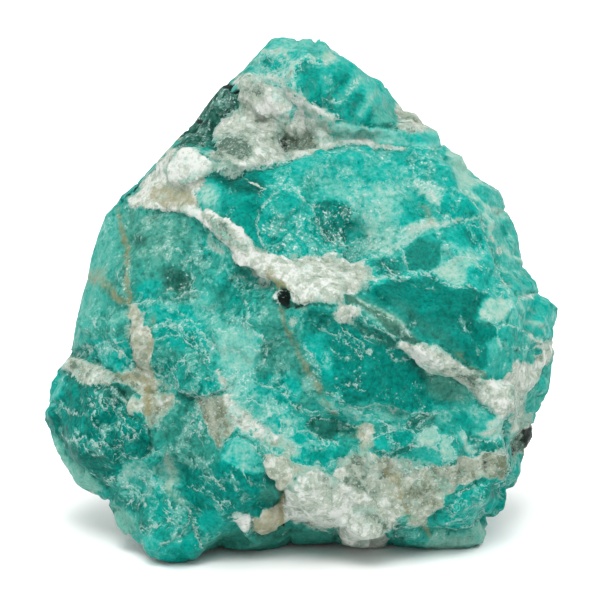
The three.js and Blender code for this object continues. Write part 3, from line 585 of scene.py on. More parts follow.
# Strokes: points "x,y,half width" in pixels of the picture, softness as a share of the half width,
# and the fields on them.
STROKES = [
    # the long vein, thin on the left
    ("150,207,1.5 165,208,1.5 178,210,2 190,211,5 205,217,8 220,229,9 236,242,9 250,255,11 262,265,11", 0.25,
     {**QUARTZ, "grey": 0.25, "buff": 0.05}),
    ("190,212,4 198,216,5 206,222,5", 0.5, {"grey": 0.0}),
    ("210,219,4 222,229,6 234,240,6 244,249,3", 0.5,
     {"grey": 0.6, "quartz": 0.1, "tone": 0.74, "mute": 0.7, "net": 0.1}),
    ("206,211,1.6 222,217,2 238,229,2.2 252,242,2.6", 0.5, {"quartz": 1.0, "grey": -0.15}),
    ("204,226,1.4 216,236,1.8 230,247,2 242,258,2", 0.6, {"quartz": 0.6, "grey": 0.05}),
    ("226,255,3 238,262,5 250,268,5", 0.5, {"grey": 0.05}),
    ("214,228,2 204,240,2.5 222,253,3", 0.5, {"quartz": 0.0, "tone": 0.75}),
    # thin veins
    ("300,154,3 318,150,3 340,146,2.5 352,143,2 364,143,3 378,144,3", 0.4, {**QUARTZ, "grey": 0.2}),
    ("378,145,2 392,147,2.5 404,149,2", 0.5, {**QUARTZ, "grey": 0.1, "quartz": 0.5}),
    ("408,231,4 420,228,6 434,225,4 448,223,1.6 464,219,1 482,213,0.8", 0.5,
     {"tone": 0.9, "quartz": -0.15, "grey": 0.2, "mute": 0.3, "net": 0.7}),
    ("384,250,4 396,246,5 408,240,5 416,232,3", 0.6,
     {"quartz": -0.25, "tone": 0.84, "mute": 0.3, "net": 0.9}),
    ("364,262,2 370,272,2 366,284,3", 0.5, {"quartz": 0.1, "grey": 0.3}),
    ("376,280,0.9 390,279,1 402,277,1 416,272,1.4 430,270,1", 0.5,
     {"quartz": -0.1, "grey": 0.0, "tone": 0.8}),
    ("243,176,1 250,184,1.2 256,186,1.2 263,190,1", 0.5, {"quartz": 0.5, "grey": 0.0}),
    ("300,98,1.6 309,107,1.6 322,111,1.6 334,119,1.6", 0.4, {**QUARTZ, "grey": 0.1}),
    ("300,96,1.6 290,90,1.6 280,84,1.6", 0.5, {"quartz": 0.3, "grey": 0.1}),
    ("336,104,2.6 344,96,3 352,86,3 360,78,2.6", 0.7, {"tone": 0.72, "mute": 0.3}),
    ("360,118,2.2 364,108,3 370,98,3.4 377,90,3", 0.7, {"tone": 0.76, "mute": 0.3}),
    ("350,118,2.6 354,106,3 360,96,2.6", 0.7, {"tone": 0.34, "mute": 0.0}),
    ("328,98,3 334,90,3 342,80,3", 0.7, {"tone": 0.38, "mute": 0.0}),
    ("298,72,3 304,68,3", 0.7, {"tone": 0.38, "mute": 0.0}),
    ("312,60,1.6 322,60,3 332,56,3 326,66,3", 0.5, {"tone": 0.9, "mute": 0.7}),
    # white web on the top crystal's left
    ("262,51,1.6 273,55,2 286,52,2 291,61,2 304,60,2 314,58,1.6", 0.6,
     {"tone": 0.94, "quartz": 0.0, "grey": 0.1}),
    ("291,61,1.6 290,71,1.8 294,82,1.8", 0.6, {"tone": 0.92, "quartz": -0.1, "grey": 0.1}),
    ("259,79,1.6 270,75,2 278,79,2 286,74,1.8", 0.6, {"tone": 0.94, "quartz": 0.0, "grey": 0.1}),
    ("278,79,1.8 283,87,2 294,92,2.2 302,98,2.2", 0.6, {"tone": 0.94, "quartz": 0.1, "grey": 0.1}),
    # edges along the right flank
    ("462,186,1.5 474,200,1.8 489,209,2.4 506,213,1.8", 0.5, {"tone": 0.88, "mute": 0.35}),
    ("476,209,1.6 489,222,1.8 498,240,2.2 508,254,2 520,262,1.4", 0.5, {"tone": 0.9, "mute": 0.3}),
    ("494,236,2.4 500,246,2.4 502,254,1.6", 0.5, {"quartz": 0.2, "grey": 0.3}),
    ("500,262,1 506,274,1.3 514,286,1.6 519,297,1.8 515,306,1.4", 0.4, {"quartz": 0.4, "grey": 0.15}),
    ("518,300,1.6 524,296,1.8 536,296,1.6", 0.5, {"quartz": 0.2, "grey": 0.2}),
    ("520,304,1 528,320,1.2 540,334,1.2", 0.5, {"tone": 0.85, "mute": 0.3}),
    ("528,300,1 536,316,1.2 546,330,1.2", 0.5, {"tone": 0.82, "mute": 0.25}),
    ("520,316,1.4 528,328,1.4 533,340,1.4", 0.5, {"quartz": 0.3, "grey": 0.2}),
    ("498,325,1.2 502,338,1.5 503,350,1.6", 0.5, {"tone": 0.88, "mute": 0.3}),
    # grey-green ridge in the long vein, between its swelling and its lower end
    ("352,298,5 364,305,6 376,313,7 390,323,8 402,332,8 410,340,6", 0.3,
     {**GREEN, "tone": 0.34, "mute": 1.0, "net": 0.2, "sugar": 0.1}),
    ("344,317,3 360,328,5 376,337,5 392,345,3.4", 0.5, {"tone": 0.3, "mute": 0.35, "net": 0.2}),
    ("358,296,1.2 372,305,1.3 386,313,1.3 400,323,1.3 410,331,1.2", 0.6,
     {"tone": 0.75, "quartz": -0.1, "grey": 0.4}),
    ("352,304,1 366,315,1.2 382,328,1.2 396,340,1.2", 0.6, {"tone": 0.75, "quartz": -0.1, "grey": 0.3}),
    # white diagonal band in the middle
    ("222,384,5 230,398,8 237,414,9 250,426,10 266,435,10 284,443,8 292,452,6", 0.6,
     {"quartz": 0.02, "grey": 0.2, "tone": 0.92, "mute": 0.35, "net": 0.6, "sugar": 0.5}),
    ("226,396,3 234,410,5 244,422,7 258,434,6", 0.8, {"quartz": 0.3, "grey": 0.12}),
    ("262,446,5 276,448,5 290,454,4", 0.5, {"grey": 0.45, "buff": 0.3}),
    ("218,372,3 226,384,3", 0.5, {"quartz": 0.3, "grey": 0.3}),
    # brown and buff lines
    ("118,214,1.5 121,230,1.8 126,243,1.8 128,265,1.8 130,302,1.6", 0.6, {"mute": 1.0, "buff": 0.55}),
    ("90,280,3 98,276,4 108,284,4 122,302,2.5", 0.7, {"mute": 0.8, "buff": 0.55}),
    ("84,276,2 92,272,3 104,270,3", 0.7, {"mute": 0.7, "buff": 0.35}),
    ("279,309,2.5 287,328,2.5 296,348,2.5 303,366,2.5 314,380,2.5 321,392,2", 0.7,
     {"mute": 0.9, "buff": 0.35}),
    ("166,451,3 168,462,4 171,475,5 168,488,4 178,500,3", 0.7, {"tone": 0.72, "mute": 0.7, "buff": 0.2}),
    ("282,500,2 281,513,2.6 282,524,2.4", 0.7, {"buff": 1.0, "grey": 0.5}),
    ("284,476,1.6 281,486,1.8 281,494,1.6", 0.6, {"buff": 0.8}),
    ("379,458,1.4 388,476,1.6 392,484,1.4", 0.6, {"buff": 0.9}),
    ("400,496,1.6 404,506,2 412,514,2", 0.6, {"buff": 0.9, "dark": 0.25}),
    ("424,524,2 428,534,2.2", 0.6, {"buff": 0.9}),
    ("147,384,2 148,397,2.5 149,408,3 146,414,3", 0.6, {"buff": 1.0, "mute": 0.9, "grey": 0.8}),
    ("121,376,1.6 132,377,2 142,379,2.4 150,384,2", 0.6, {"buff": 0.8, "grey": 0.7}),
    ("156,394,1.6 163,396,2 166,402,1.6", 0.5, {"buff": 0.9, "grey": 0.6}),
    ("160,403,2 166,398,2.4", 0.5, {"buff": 0.0, "grey": 0.1}),
    ("270,275,2 276,281,3 283,284,2.5 290,290,2", 0.6, {"buff": 1.0, "grey": 0.5}),
    # white patches
    ("142,500,2 147,505,2.5", 0.5, {"quartz": 0.15, "grey": 0.2}),
    ("112,352,2 120,348,2.4 128,350,2 122,356,2", 0.5, {"quartz": 0.05, "grey": 0.2}),
    ("118,322,3 124,318,3 130,314,2.5", 0.5, {"tone": 0.74, "mute": 0.4}),
    ("166,290,1.5 176,291,1.6 186,286,1.5 190,278,1.5", 0.5, {"quartz": -0.15, "grey": 0.5, "buff": 0.2}),
    ("477,434,2.4 488,436,3.4 498,432,4.4 502,424,4 500,416,2.4", 0.5,
     {"quartz": 0.0, "grey": 0.2, "tone": 0.95}),
    ("345,488,2 357,493,3 366,497,3", 0.5, {"quartz": 1.0, "grey": 0.0}),
    ("300,530,1.2 288,534,1.4 274,540,1.2", 0.5, {"tone": 0.3, "mute": 0.5}),
    # dark lines and black grains
    ("281,295,6.5 282,298,6.5", 0.25, {"dark": 1.0, "quartz": -1.0, "tone": 0.05}),
    ("272,279,2 276,285,2.5 282,287,2.5", 0.5, {"grey": 0.7, "buff": 1.0}),
    ("286,306,1.6 294,309,1.6 302,308,1.8 309,306,1.2", 0.5, {"dark": 0.8}),
    ("284,303,2.6 294,306,3 306,309,2.6", 0.6, {"mute": 0.9, "tone": 0.3, "quartz": -0.6}),
    # painted highlight on the black grain's left side
    ("274,291,1.3 275,299,1.6", 0.5, {"quartz": 0.5, "dark": 0.0, "grey": 0.3}),
    ("279,531,2 284,529,2.4 288,526,1.6", 0.4, {"dark": 1.0}),
    ("225,85,4 231,88,4 233,93,2.6", 0.4, {"dark": 1.0}),
    ("236,98,1.6 240,108,2", 0.5, {"dark": 0.5}),
    ("200,120,2.4 206,120,2.4", 0.5, {"dark": 0.9}),
    ("118,204,1.4 122,197,1.2 130,190,0.9 142,180,0.8 158,166,0.8", 0.4, {"dark": 0.9}),
    ("284,137,2.4 286,143,2 290,147,1.6", 0.4, {"dark": 0.6}),
    ("312,138,1.6 314,146,2", 0.4, {"dark": 0.5}),
    # painted shade under the quartz's lower edge
    ("196,178,1.4 204,180,1.4 214,178,1.2", 0.5, {"dark": 0.45}),
    ("222,470,1.4 236,480,1.4", 0.5, {"quartz": -0.5}),
    ("252,468,1.6 256,470,1.6", 0.5, {"dark": 0.7}),
    ("436,404,1 446,398,1 456,384,1", 0.6, {"tone": 0.3}),
    ("340,436,1.6 352,440,1.6 360,436,1.6", 0.5, {"buff": 0.5, "dark": 0.2}),
]

# Creases: points "x,y" and half width in pixels, and depth in millimetres. The relief is half as deep again,
# and the colour is darkened along them as painted shade.
CREASES = [
    ("334,120 350,124 365,126 380,126 397,127", 2.2, 0.32),
    ("206,177 230,174 250,171 270,167 290,160 302,156", 2.2, 0.3),
    ("300,157 320,153 340,149 362,147 380,147 404,151", 1.8, 0.25),
    ("150,210 172,212 184,217 201,230 216,240 231,250 236,264 248,274 264,284 274,292", 2.4, 0.25),
    ("196,206 213,208 226,216 238,228 252,241 264,250", 2.0, 0.25),
    ("285,304 300,308 318,304 332,306", 2.4, 0.4),
    ("400,352 414,369 432,378 445,379 456,384 470,392 482,408 498,418", 2.4, 0.28),
    ("396,341 412,340 432,341 445,348 463,362 478,372 486,377", 2.0, 0.25),
    ("176,392 187,397 201,399 216,396 229,390 236,379", 2.0, 0.4),
    ("326,397 347,408 376,409 402,414 430,416", 2.2, 0.2),
    ("264,246 260,236 258,222 262,208 270,198 278,191", 1.6, 0.12),
    ("261,457 260,467 266,482 272,488 281,494 283,503 276,508", 2.2, 0.45),
    ("299,472 292,484 282,494 280,506 284,514", 1.8, 0.3),
    ("253,518 252,527 259,536 268,537 278,534 288,527", 2.2, 0.45),
    ("338,541 334,532 346,526 356,518", 2.0, 0.35),
    ("390,538 404,534 420,530 440,534 456,536 474,530 486,522", 2.0, 0.35),
    ("434,518 446,512 456,494 468,488 484,480", 2.0, 0.3),
    ("504,478 508,460 506,440 508,420", 2.0, 0.4),
    ("128,308 133,334 135,352 136,372", 2.0, 0.3),
    ("66,374 82,388 98,388 118,388 128,396 122,404 130,417 140,420 150,431 150,449 142,457", 2.2, 0.4),
    ("70,352 90,360 104,365 118,373", 1.8, 0.35),
    ("50,432 62,441 69,455 84,470 96,482 108,490", 2.0, 0.35),
    ("161,548 178,535 194,531", 1.6, 0.25),
    ("189,512 195,529 201,545", 1.4, 0.3),
    ("224,441 234,434 246,439 256,448 262,458", 1.6, 0.25),
    ("374,448 388,455 402,454 412,448 418,440", 1.8, 0.3),
    ("478,436 490,438 500,434 503,424", 1.6, 0.25),
    ("462,186 476,209 489,233 500,262 514,286 520,297", 1.6, 0.3),
    ("519,312 526,326 538,340 552,340", 1.6, 0.3),
    ("443,201 438,209 430,202 420,192 412,188", 1.4, 0.2),
    ("481,318 491,321 499,324 506,321 510,312", 1.6, 0.3),
    ("212,124 211,140 214,152 214,164 216,174", 1.8, 0.35),
    ("272,117 279,128 284,142 293,158", 1.8, 0.4),
    ("282,132 298,134 312,134 320,140", 2.0, 0.35),
    ("232,86 236,98 239,108 222,117 212,124", 1.8, 0.35),
]

# Crests beside them, where an edge catches the light: the same, with their rise in millimetres.
CRESTS = [
    ("334,116 350,119 365,121 397,122", 2.6, 0.3),
    ("204,214 216,226 232,238 246,252 262,262", 4.0, 0.2),
    ("398,346 414,352 432,360 452,372 468,388", 5.0, 0.25),
    ("344,488 356,493 368,498", 2.6, 0.3),
    ("166,172 174,160 190,154 204,160 209,170", 3.0, 0.2),
    ("154,364 166,359 181,361 190,372 206,380 232,372", 3.0, 0.15),
    ("456,186 470,206 483,232 494,262", 2.4, 0.25),
    ("468,166 480,186 500,208 512,236 520,262", 2.6, 0.25),
]

# Thin lines in pixels of the picture: white healed cracks, brown stained cracks, and dark lines of painted
# shade along the creases and ledges; some pale ones are a painted highlight on the black grain.
# Where a point has a third number, the first point's is the line's half width.
LINES = {
    "pale": [
        # painted highlight on the black grain
        "276,292,1.1 275,296,1.1 277,301,1.1",
        "280,291,0.8 284,292,0.8",
        # round the top crystal's frosted left
        "256,60,1.4 268,56,1.4 282,60,1.4 292,58,1.4 304,62,1.4 312,60,1.4",
        "282,60,1.4 288,66,1.4 294,72,1.4",
        "254,77,1.5 264,78,1.5 272,76,1.5 280,77,1.5 286,72,1.5 292,70,1.5",
        "272,76,1.4 280,83,1.4 290,87,1.4 298,92,1.4 302,100,1.4",
        "262,64,1.1 270,66,1.1 276,70,1.1 280,77,1.1",
        "290,78,1.4 296,84,1.4 300,90,1.4",
        "268,84,1.4 276,88,1.4 286,92,1.4 294,96,1.4",
        "312,60,1.1 318,66,1.1 327,64,1.1 334,58,1.1",
        "296,100,1.4 306,104,1.4 318,108,1.4 326,114,1.4 336,118,1.4",
        "330,100,1.1 338,102,1.1 345,98,1.1 350,90,1.1 356,82,1.1",
        # edges of the grey blocks of quartz
        "212,140 214,128 222,117 240,111 258,112 272,117 279,128 284,142 291,155",
        "240,92 250,84 264,90 276,96 288,108 292,122",
        "216,146 228,138 246,140 255,148",
        # between the quartz and the upper block
        "207,175 222,173 237,171 262,168 283,162 294,157 310,152 330,148 346,146 366,145 390,148 420,150 "
        "441,148",
        "400,127 420,129 440,131",
        # upper block
        "284,187 276,192 268,200 261,210 258,224 262,240 268,254",
        "262,190 275,183 290,184 300,194 316,204",
        "314,205 318,222 326,238 344,246",
        "358,262 374,256 389,249 407,234 430,226 458,222 478,226",
        "403,247 403,258 409,270 427,273 440,266 456,258 470,259",
        "370,278 384,277 399,280 414,275 428,274 441,281 456,287 470,286 486,293",
        "420,182 432,184 443,190 440,200 432,203",
        "436,210 446,217 458,222 472,218",
        "384,262 390,270 400,277",
        # ridge between the two parts of the vein
        "359,298 370,307 384,316 397,325 410,335",
        "357,311 368,321 382,331 395,340 401,346",
        # flecked block
        "317,326 328,333 340,336 352,345 360,356",
        "344,330 352,338 362,342 371,352",
        "331,348 338,356 347,360",
        "303,344 309,358 318,372",
        "326,394 347,405 376,406 395,411 413,412 432,413",
        "371,418 389,425 407,425 420,417 431,413",
        "388,352 394,360 404,362",
        "340,386 352,384 362,390",
        # left body
        "74,356 84,350 97,346 109,344 125,342",
        "95,357 104,350 117,349 128,356 131,368",
        "153,328 160,323 173,326 181,333 194,331 204,334 212,344",
        "160,340 170,334 182,338 190,346 198,345",
        "140,304 152,300 166,303 176,296 189,290 200,292",
        "189,290 192,279 190,268",
        "166,378 176,364 184,360 192,352 206,352 214,344",
        "157,374 166,380 176,390 194,396 214,393 229,383 236,372",
        "188,369 196,378 207,377 216,371 230,370",
        "215,330 225,333 238,327",
        "244,300 252,310 250,322 256,333 266,340",
        "225,346 236,352 248,347 258,352",
        "262,345 268,356 262,366 254,372",
        "205,222 216,232 225,245 236,258",
        "160,250 170,246 180,252",
        "178,312 184,320 196,322",
        # middle
        "256,382 268,388 280,386 292,394",
        "246,402 256,399 266,408 262,420 248,423 240,414",
        "262,418 272,411 282,417 281,430 268,435 256,432",
        "300,408 312,412 326,408 340,412",
        "308,422 320,417 334,419 346,424 360,429",
        "284,436 296,431 310,433 320,441 336,445",
        "296,464 308,468 326,468 338,459",
        "232,423 242,430 252,438 262,446 274,452 288,455",
        # lower left block
        "110,402 118,412 126,424 134,430",
        "92,400 98,412 96,424 104,436",
        "60,402 70,412 84,414",
        "64,436 76,440 88,436 100,444",
        "112,388 120,398 126,408",
        "119,456 132,452 146,454 160,446",
        "150,470 160,480 166,494 172,508",
        "124,484 136,492 150,496",
        # front foot and deep block
        "189,487 200,491 210,496 218,502 228,503",
        "203,476 212,480 222,488",
        "166,513 174,524 184,524 194,521 200,534",
        "226,441 236,436 246,441 257,450 262,459",
        "243,470 252,484 262,488",
        # lower right
        "373,443 384,434 400,428 410,428 418,433 417,440 409,448 396,453 380,450",
        "418,436 426,430 434,429 440,438 434,446 424,446",
        "438,434 450,439 456,454 450,460 442,456 440,446",
        "412,447 426,446 441,448 445,460",
        "468,390 474,403 484,408 499,416 502,429 499,438 486,442 474,440",
        "478,460 485,452 497,451 505,456",
        "507,494 509,478 506,464 508,450 513,440",
        "486,486 497,482 505,487 505,500",
        "446,512 456,502 462,490 480,486",
        "438,530 456,534 474,529 488,521",
        "391,524 396,528 413,526 428,528",
        # right flank
        "463,186 476,209 488,233 500,262 509,288 509,308",
        "486,184 498,190 506,206",
        "500,325 512,326 530,338",
        "512,346 524,350 536,343 554,338",
        "519,301 530,296 540,294",
        # short ones
        "196,487,1.0 206,490,1.0 216,499,1.0 221,507,1.0",
        "225,502,0.9 231,506,0.9",
        "148,530,0.9 154,526,0.9 162,525,0.9 170,521,0.9",
        "164,544,1.1 172,537,1.1 184,528,1.1",
        "146,522,1.2 150,529,1.2",
        "189,512,0.8 195,529,0.8 201,545,0.8",
        "99,391,1.1 102,400,1.1 108,411,1.1",
        "79,434,0.8 81,442,0.8",
        "88,442,0.8 92,450,0.8 97,452,0.8",
        "106,444,1.1 112,448,1.1 119,446,1.1",
        "118,424,1.3 120,434,1.3 130,438,1.3 136,434,1.3",
        "108,484,1.5 116,478,1.5 124,474,1.5",
        "144,482,1.1 156,484,1.1 164,480,1.1",
        "128,494,1.5 134,498,1.5 130,502,1.5",
        "95,318,0.8 100,326,0.8",
        "88,352,0.9 96,346,0.9 108,341,0.9 116,342,0.9",
        "150,303,0.8 156,298,0.8",
        "162,326,0.8 168,320,0.8 174,324,0.8 180,330,0.8",
        "188,336,1.2 196,332,1.2 206,336,1.2",
        "200,342,1.4 204,352,1.4 206,360,1.4",
        "186,374,1.1 190,366,1.1 196,362,1.1",
        "170,368,1.0 174,376,1.0 176,386,1.0",
        "206,247,1.1 212,249,1.1 222,246,1.1 228,243,1.1",
        "196,394,1.4 198,406,1.4 194,420,1.4 188,428,1.4",
        "196,420,1.4 198,430,1.4 200,438,1.4",
        "363,345,0.7 366,352,0.7 376,359,0.7",
        "370,337,0.7 378,339,0.7",
        "345,407,0.8 360,412,0.8 372,414,0.8",
        "338,398,1.3 344,404,1.3 352,410,1.3",
        "388,430,0.8 402,426,0.8 414,420,0.8",
        "390,440,1.2 396,444,1.2 402,448,1.2",
        "418,426,0.9 426,418,0.9 440,412,0.9",
        "430,372,0.8 432,380,0.8",
        "462,434,1.4 466,444,1.4 472,450,1.4 476,458,1.4",
        "508,420,1.1 505,432,1.1 504,446,1.1 506,460,1.1 507,474,1.1",
        "482,494,1.1 480,506,1.1 486,514,1.1 484,520,1.1",
        "452,514,0.9 464,508,0.9 480,506,0.9",
        "454,520,1.1 462,524,1.1 470,518,1.1",
        "312,466,0.8 318,462,0.8 326,468,0.8",
        "314,440,0.8 320,444,0.8 326,446,0.8",
        "286,392,1.1 290,402,1.1 298,410,1.1",
        "252,398,0.9 262,404,0.9 272,412,0.9",
    ],
    "stain": [
        "117,207 120,223 123,239 126,252 128,267 128,287 130,301",
        "88,278 101,286 112,293 122,301 130,304",
        "154,316 152,340 151,362 154,386 156,408",
        "281,310 288,328 294,344 299,359 309,372 317,385 325,402 334,414",
        "264,262 272,274 277,290",
        "281,489 283,500 282,512 284,528",
        "389,462 394,474 400,490 404,508 412,524",
        "360,430 366,438 362,448",
        "412,196 424,206 430,222",
        "456,352 470,364 482,374",
    ],
    "shade_line": [
        # painted shade: dark lines along the creases and under the ledges
        "128,206 150,209 170,210 186,213 200,222 213,233",
        "283,284 300,302 316,306 330,306",
        "206,176 230,174 262,171 284,165 296,160",
        "340,122 372,124 397,126",
        "372,312 384,321 398,331 408,340",
        "434,376 446,377 458,384 470,391 476,404",
        "426,372 410,366 402,356",
        "262,488 272,500 284,512 300,524 318,530",
        "312,420 322,418 334,420 346,426",
        "507,464 508,480 507,494",
        "378,452 392,456 404,454 416,446",
        "176,392 196,398 216,395 230,386",
        "376,502 386,520 392,536",
        "254,532 268,537 280,532",
    ],
}
LINE_HALF = {"pale": 0.75, "stain": 0.9, "shade_line": 0.9}  # half widths of the other lines in pixels

# The stone's outline in pixels of the picture, clockwise from the top.
OUTLINE = (
    "272,38 284,37 298,39 310,38 321,38 333,49 340,54 354,63 370,76 380,80 387,88 395,99 404,110 416,113 "
    "423,123 437,131 442,143 452,151 462,156 468,168 476,176 489,184 499,190 504,200 506,210 513,222 "
    "518,235 520,250 524,266 536,281 540,294 549,299 558,307 557,318 554,328 553,345 555,352 552,366 "
    "551,378 549,390 543,402 537,414 533,426 533,436 525,450 522,462 521,472 515,485 508,492 505,508 "
    "497,515 488,520 487,534 483,543 470,549 440,550 420,549 400,547 390,545 380,548 365,549 350,547 "
    "335,543 318,544 300,545 290,544 278,548 260,551 240,550 220,547 205,553 196,560 183,563 172,563 "
    "158,560 148,556 140,545 134,539 124,534 116,525 112,512 107,502 97,496 84,490 76,484 69,472 60,458 "
    "53,443 50,430 44,419 45,410 49,398 51,383 58,369 70,354 73,340 76,322 82,295 87,280 91,258 98,235 "
    "106,214 116,204 122,195 136,184 147,172 158,160 180,136 193,124 202,111 210,100 219,89 236,76 248,64 "
    "259,51"
)

# Veins on the sides and back are sheets through the stone: a point of each in the face frame, its normal,
# its half width in millimetres and its greyness.
SHEETS = [
    ((-21.5, 12.0, 0.0), (0.29, 0.95, 0.10), 1.0, 0.2),
    ((-28.5, -6.3, 0.0), (0.50, 0.86, 0.15), 0.9, 0.4),
    ((-12.0, 20.0, -6.0), (0.95, -0.2, 0.3), 1.5, 0.3),
    ((25.0, -17.0, 0.0), (-0.1, 0.97, -0.2), 1.0, 0.5),
    ((6.0, -20.0, -8.0), (0.75, 0.5, -0.4), 1.9, 0.4),
]


# ---------------------------------------------------------------- outlines and lines as masks
def parse(text):
    return np.array([[float(x) for x in word.split(",")] for word in text.split()])


def from_segments(x, y, path):
    """Distance to a path of straight steps, and the value of its third column at the nearest place."""
    best = np.full(len(x), FAR)
    third = np.zeros(len(x))
    for a, b in zip(path[:-1], path[1:]):
        sx, sy = b[0] - a[0], b[1] - a[1]
        t = np.clip(((x - a[0]) * sx + (y - a[1]) * sy) / max(TINY, sx * sx + sy * sy), 0, 1)
        d = np.hypot(x - a[0] - t * sx, y - a[1] - t * sy)
        nearer = d < best
        best = np.where(nearer, d, best)
        if path.shape[1] > 2:
            third = np.where(nearer, a[2] + t * (b[2] - a[2]), third)
    return best, third


def inside(x, y, outline):
    crossings = np.zeros(len(x), bool)
    for a, b in zip(outline, np.roll(outline, -1, axis=0)):
        if a[1] != b[1]:
            spans = (a[1] > y) != (b[1] > y)
            crossings ^= spans & (x < a[0] + (y - a[1]) * (b[0] - a[0]) / (b[1] - a[1]))
    return crossings


def beside_lines(x, y, paths, half):
    """How far a place is to the side of the nearest path, and how far off, both in half widths."""
    near = np.full(len(x), LINE_REACH)
    side = np.full(len(x), LINE_REACH)
    for path in paths:
        path = parse(path)
        own_half = path[0, 2] if path.shape[1] > 2 else half
        low = path[:, :2].min(axis=0) - LINE_MARGIN
        high = path[:, :2].max(axis=0) + LINE_MARGIN
        around = np.nonzero((x > low[0]) & (x < high[0]) & (y > low[1]) & (y < high[1]))[0]
        px, py = x[around], y[around]
        for a, b in zip(path[:-1], path[1:]):
            distance, _ = from_segments(px, py, np.array([a, b])[:, :2])
            left = (b[0] - a[0]) * (py - a[1]) - (b[1] - a[1]) * (px - a[0]) > 0
            nearer = distance / own_half < near[around]
            there = around[nearer]
            side[there] = np.where(left, distance, -distance)[nearer] / own_half
            near[there] = distance[nearer] / own_half
    return side, near


def area_mask(x, y, outline, soft):
    closed = np.vstack([outline, outline[:1]])
    distance, _ = from_segments(x, y, closed)
    signed = np.where(inside(x, y, outline), distance, -distance)
    return smooth(0.5 + signed / (2 * soft))


def stroke_mask(x, y, path, soft):
    distance, half = from_segments(x, y, path)
    return smooth(0.5 + (half - distance) / (2 * soft * half + TINY))


# ---------------------------------------------------------------- outline, as the picture shows it
def outline_reach(angle):
    """How far the outline is from the middle of the picture at each angle, in pixels."""
    dx, dy = np.cos(angle), np.sin(angle)
    reach = np.zeros(len(angle))
    outline = parse(OUTLINE)
    middle = PICTURE / 2
    parallel, slip = 1e-12, 1e-6
    for a, b in zip(outline - middle, np.roll(outline, -1, axis=0) - middle):
        sx, sy = b - a
        across = dx * sy - dy * sx
        across = np.where(np.abs(across) < parallel, parallel, across)
        along = (dx * a[1] - dy * a[0]) / -across
        r = (a[0] * sy - a[1] * sx) / across
        hit = (along >= -slip) & (along <= 1 + slip) & (r > 0)
        reach = np.where(hit, np.maximum(reach, r), reach)
    return reach


def picture_places(face):
    nearness = DISTANCE / (DISTANCE - face[:, 2] * MM)
    x = PICTURE / 2 + face[:, 0] * MM / PIXEL * nearness
    y = PICTURE / 2 - face[:, 1] * MM / PIXEL * nearness
    return x, y


def fit_outline(face):
    """Draws the surface near the outline out or in until the stone's outline is the one wanted."""
    middles = (np.arange(OUTLINE_BINS) + 0.5) / OUTLINE_BINS * 2 * np.pi - np.pi
    for _ in range(OUTLINE_ROUNDS):
        x, y = picture_places(face)
        x, y = x - PICTURE / 2, y - PICTURE / 2
        r, angle = np.hypot(x, y), np.arctan2(y, x)
        slot = np.floor((angle + np.pi) / (2 * np.pi) * OUTLINE_BINS).astype(int) % OUTLINE_BINS
        now = np.zeros(OUTLINE_BINS)
        np.maximum.at(now, slot, r)
        now = np.maximum(now, 0.5 * (np.roll(now, 1) + np.roll(now, -1)))
        ratio = np.clip(outline_reach(middles) / now, *OUTLINE_PULL)
        k = np.interp(angle, middles, ratio, period=2 * np.pi)
        s = np.interp(angle, middles, now, period=2 * np.pi)
        near_rim = smooth((r / s - RIM_START) / RIM_WIDTH)
        face = face.copy()
        face[:, :2] *= (1 + (k - 1) * near_rim)[:, None]
    return face


points, triangles, edges = make_surface()
points = from_face(fit_outline(to_face(points)))
normals = normals_of(points, triangles)
face = to_face(points)
picture_x, picture_y = picture_places(face)
shown = smooth((normals @ OUT + SHOWN_TURN) / SHOWN_BLEND)

# Crystals of two sizes. Each is mostly of one colour and tilts its own way, so that borders between colours
# follow them.
bend = np.stack([swells(points, 1.6 * MM, seed, 2) for seed in (301, 311, 321)], axis=1)
coarse, coarse_tilt, coarse_own = chips(points + 0.45 * MM * bend, COARSE, 521)
small, small_tilt, small_own = chips(points + 0.25 * MM * bend, SMALL, 531)
drawn = (0.5 * coarse + 0.75 * small) / PIXEL
warp_x = drawn @ RIGHT + 3.5 * swells(points, 3.0 * MM, 341, 3, 0.6)
warp_y = -drawn @ UP + 3.5 * swells(points, 3.0 * MM, 351, 3, 0.6)


def strayed(share):
    """Every point's place in the picture, moved a share of the way that borders stray."""
    return picture_x + share * warp_x, picture_y + share * warp_y


# ---------------------------------------------------------------- the sides and back, which are guessed
def patches(p, size, seed, octaves, start, gain):
    """Patches from 0 to 1, where the swells rise over the start."""
    return smooth((swells(p, size * MM, seed, octaves) - start) * gain)


def varied(p, base, height, size, seed, most=1.0):
    """A value that swells round its base, kept between 0 and the most."""
    return np.clip(base + height * swells(p, size * MM, seed, 2), 0, most)


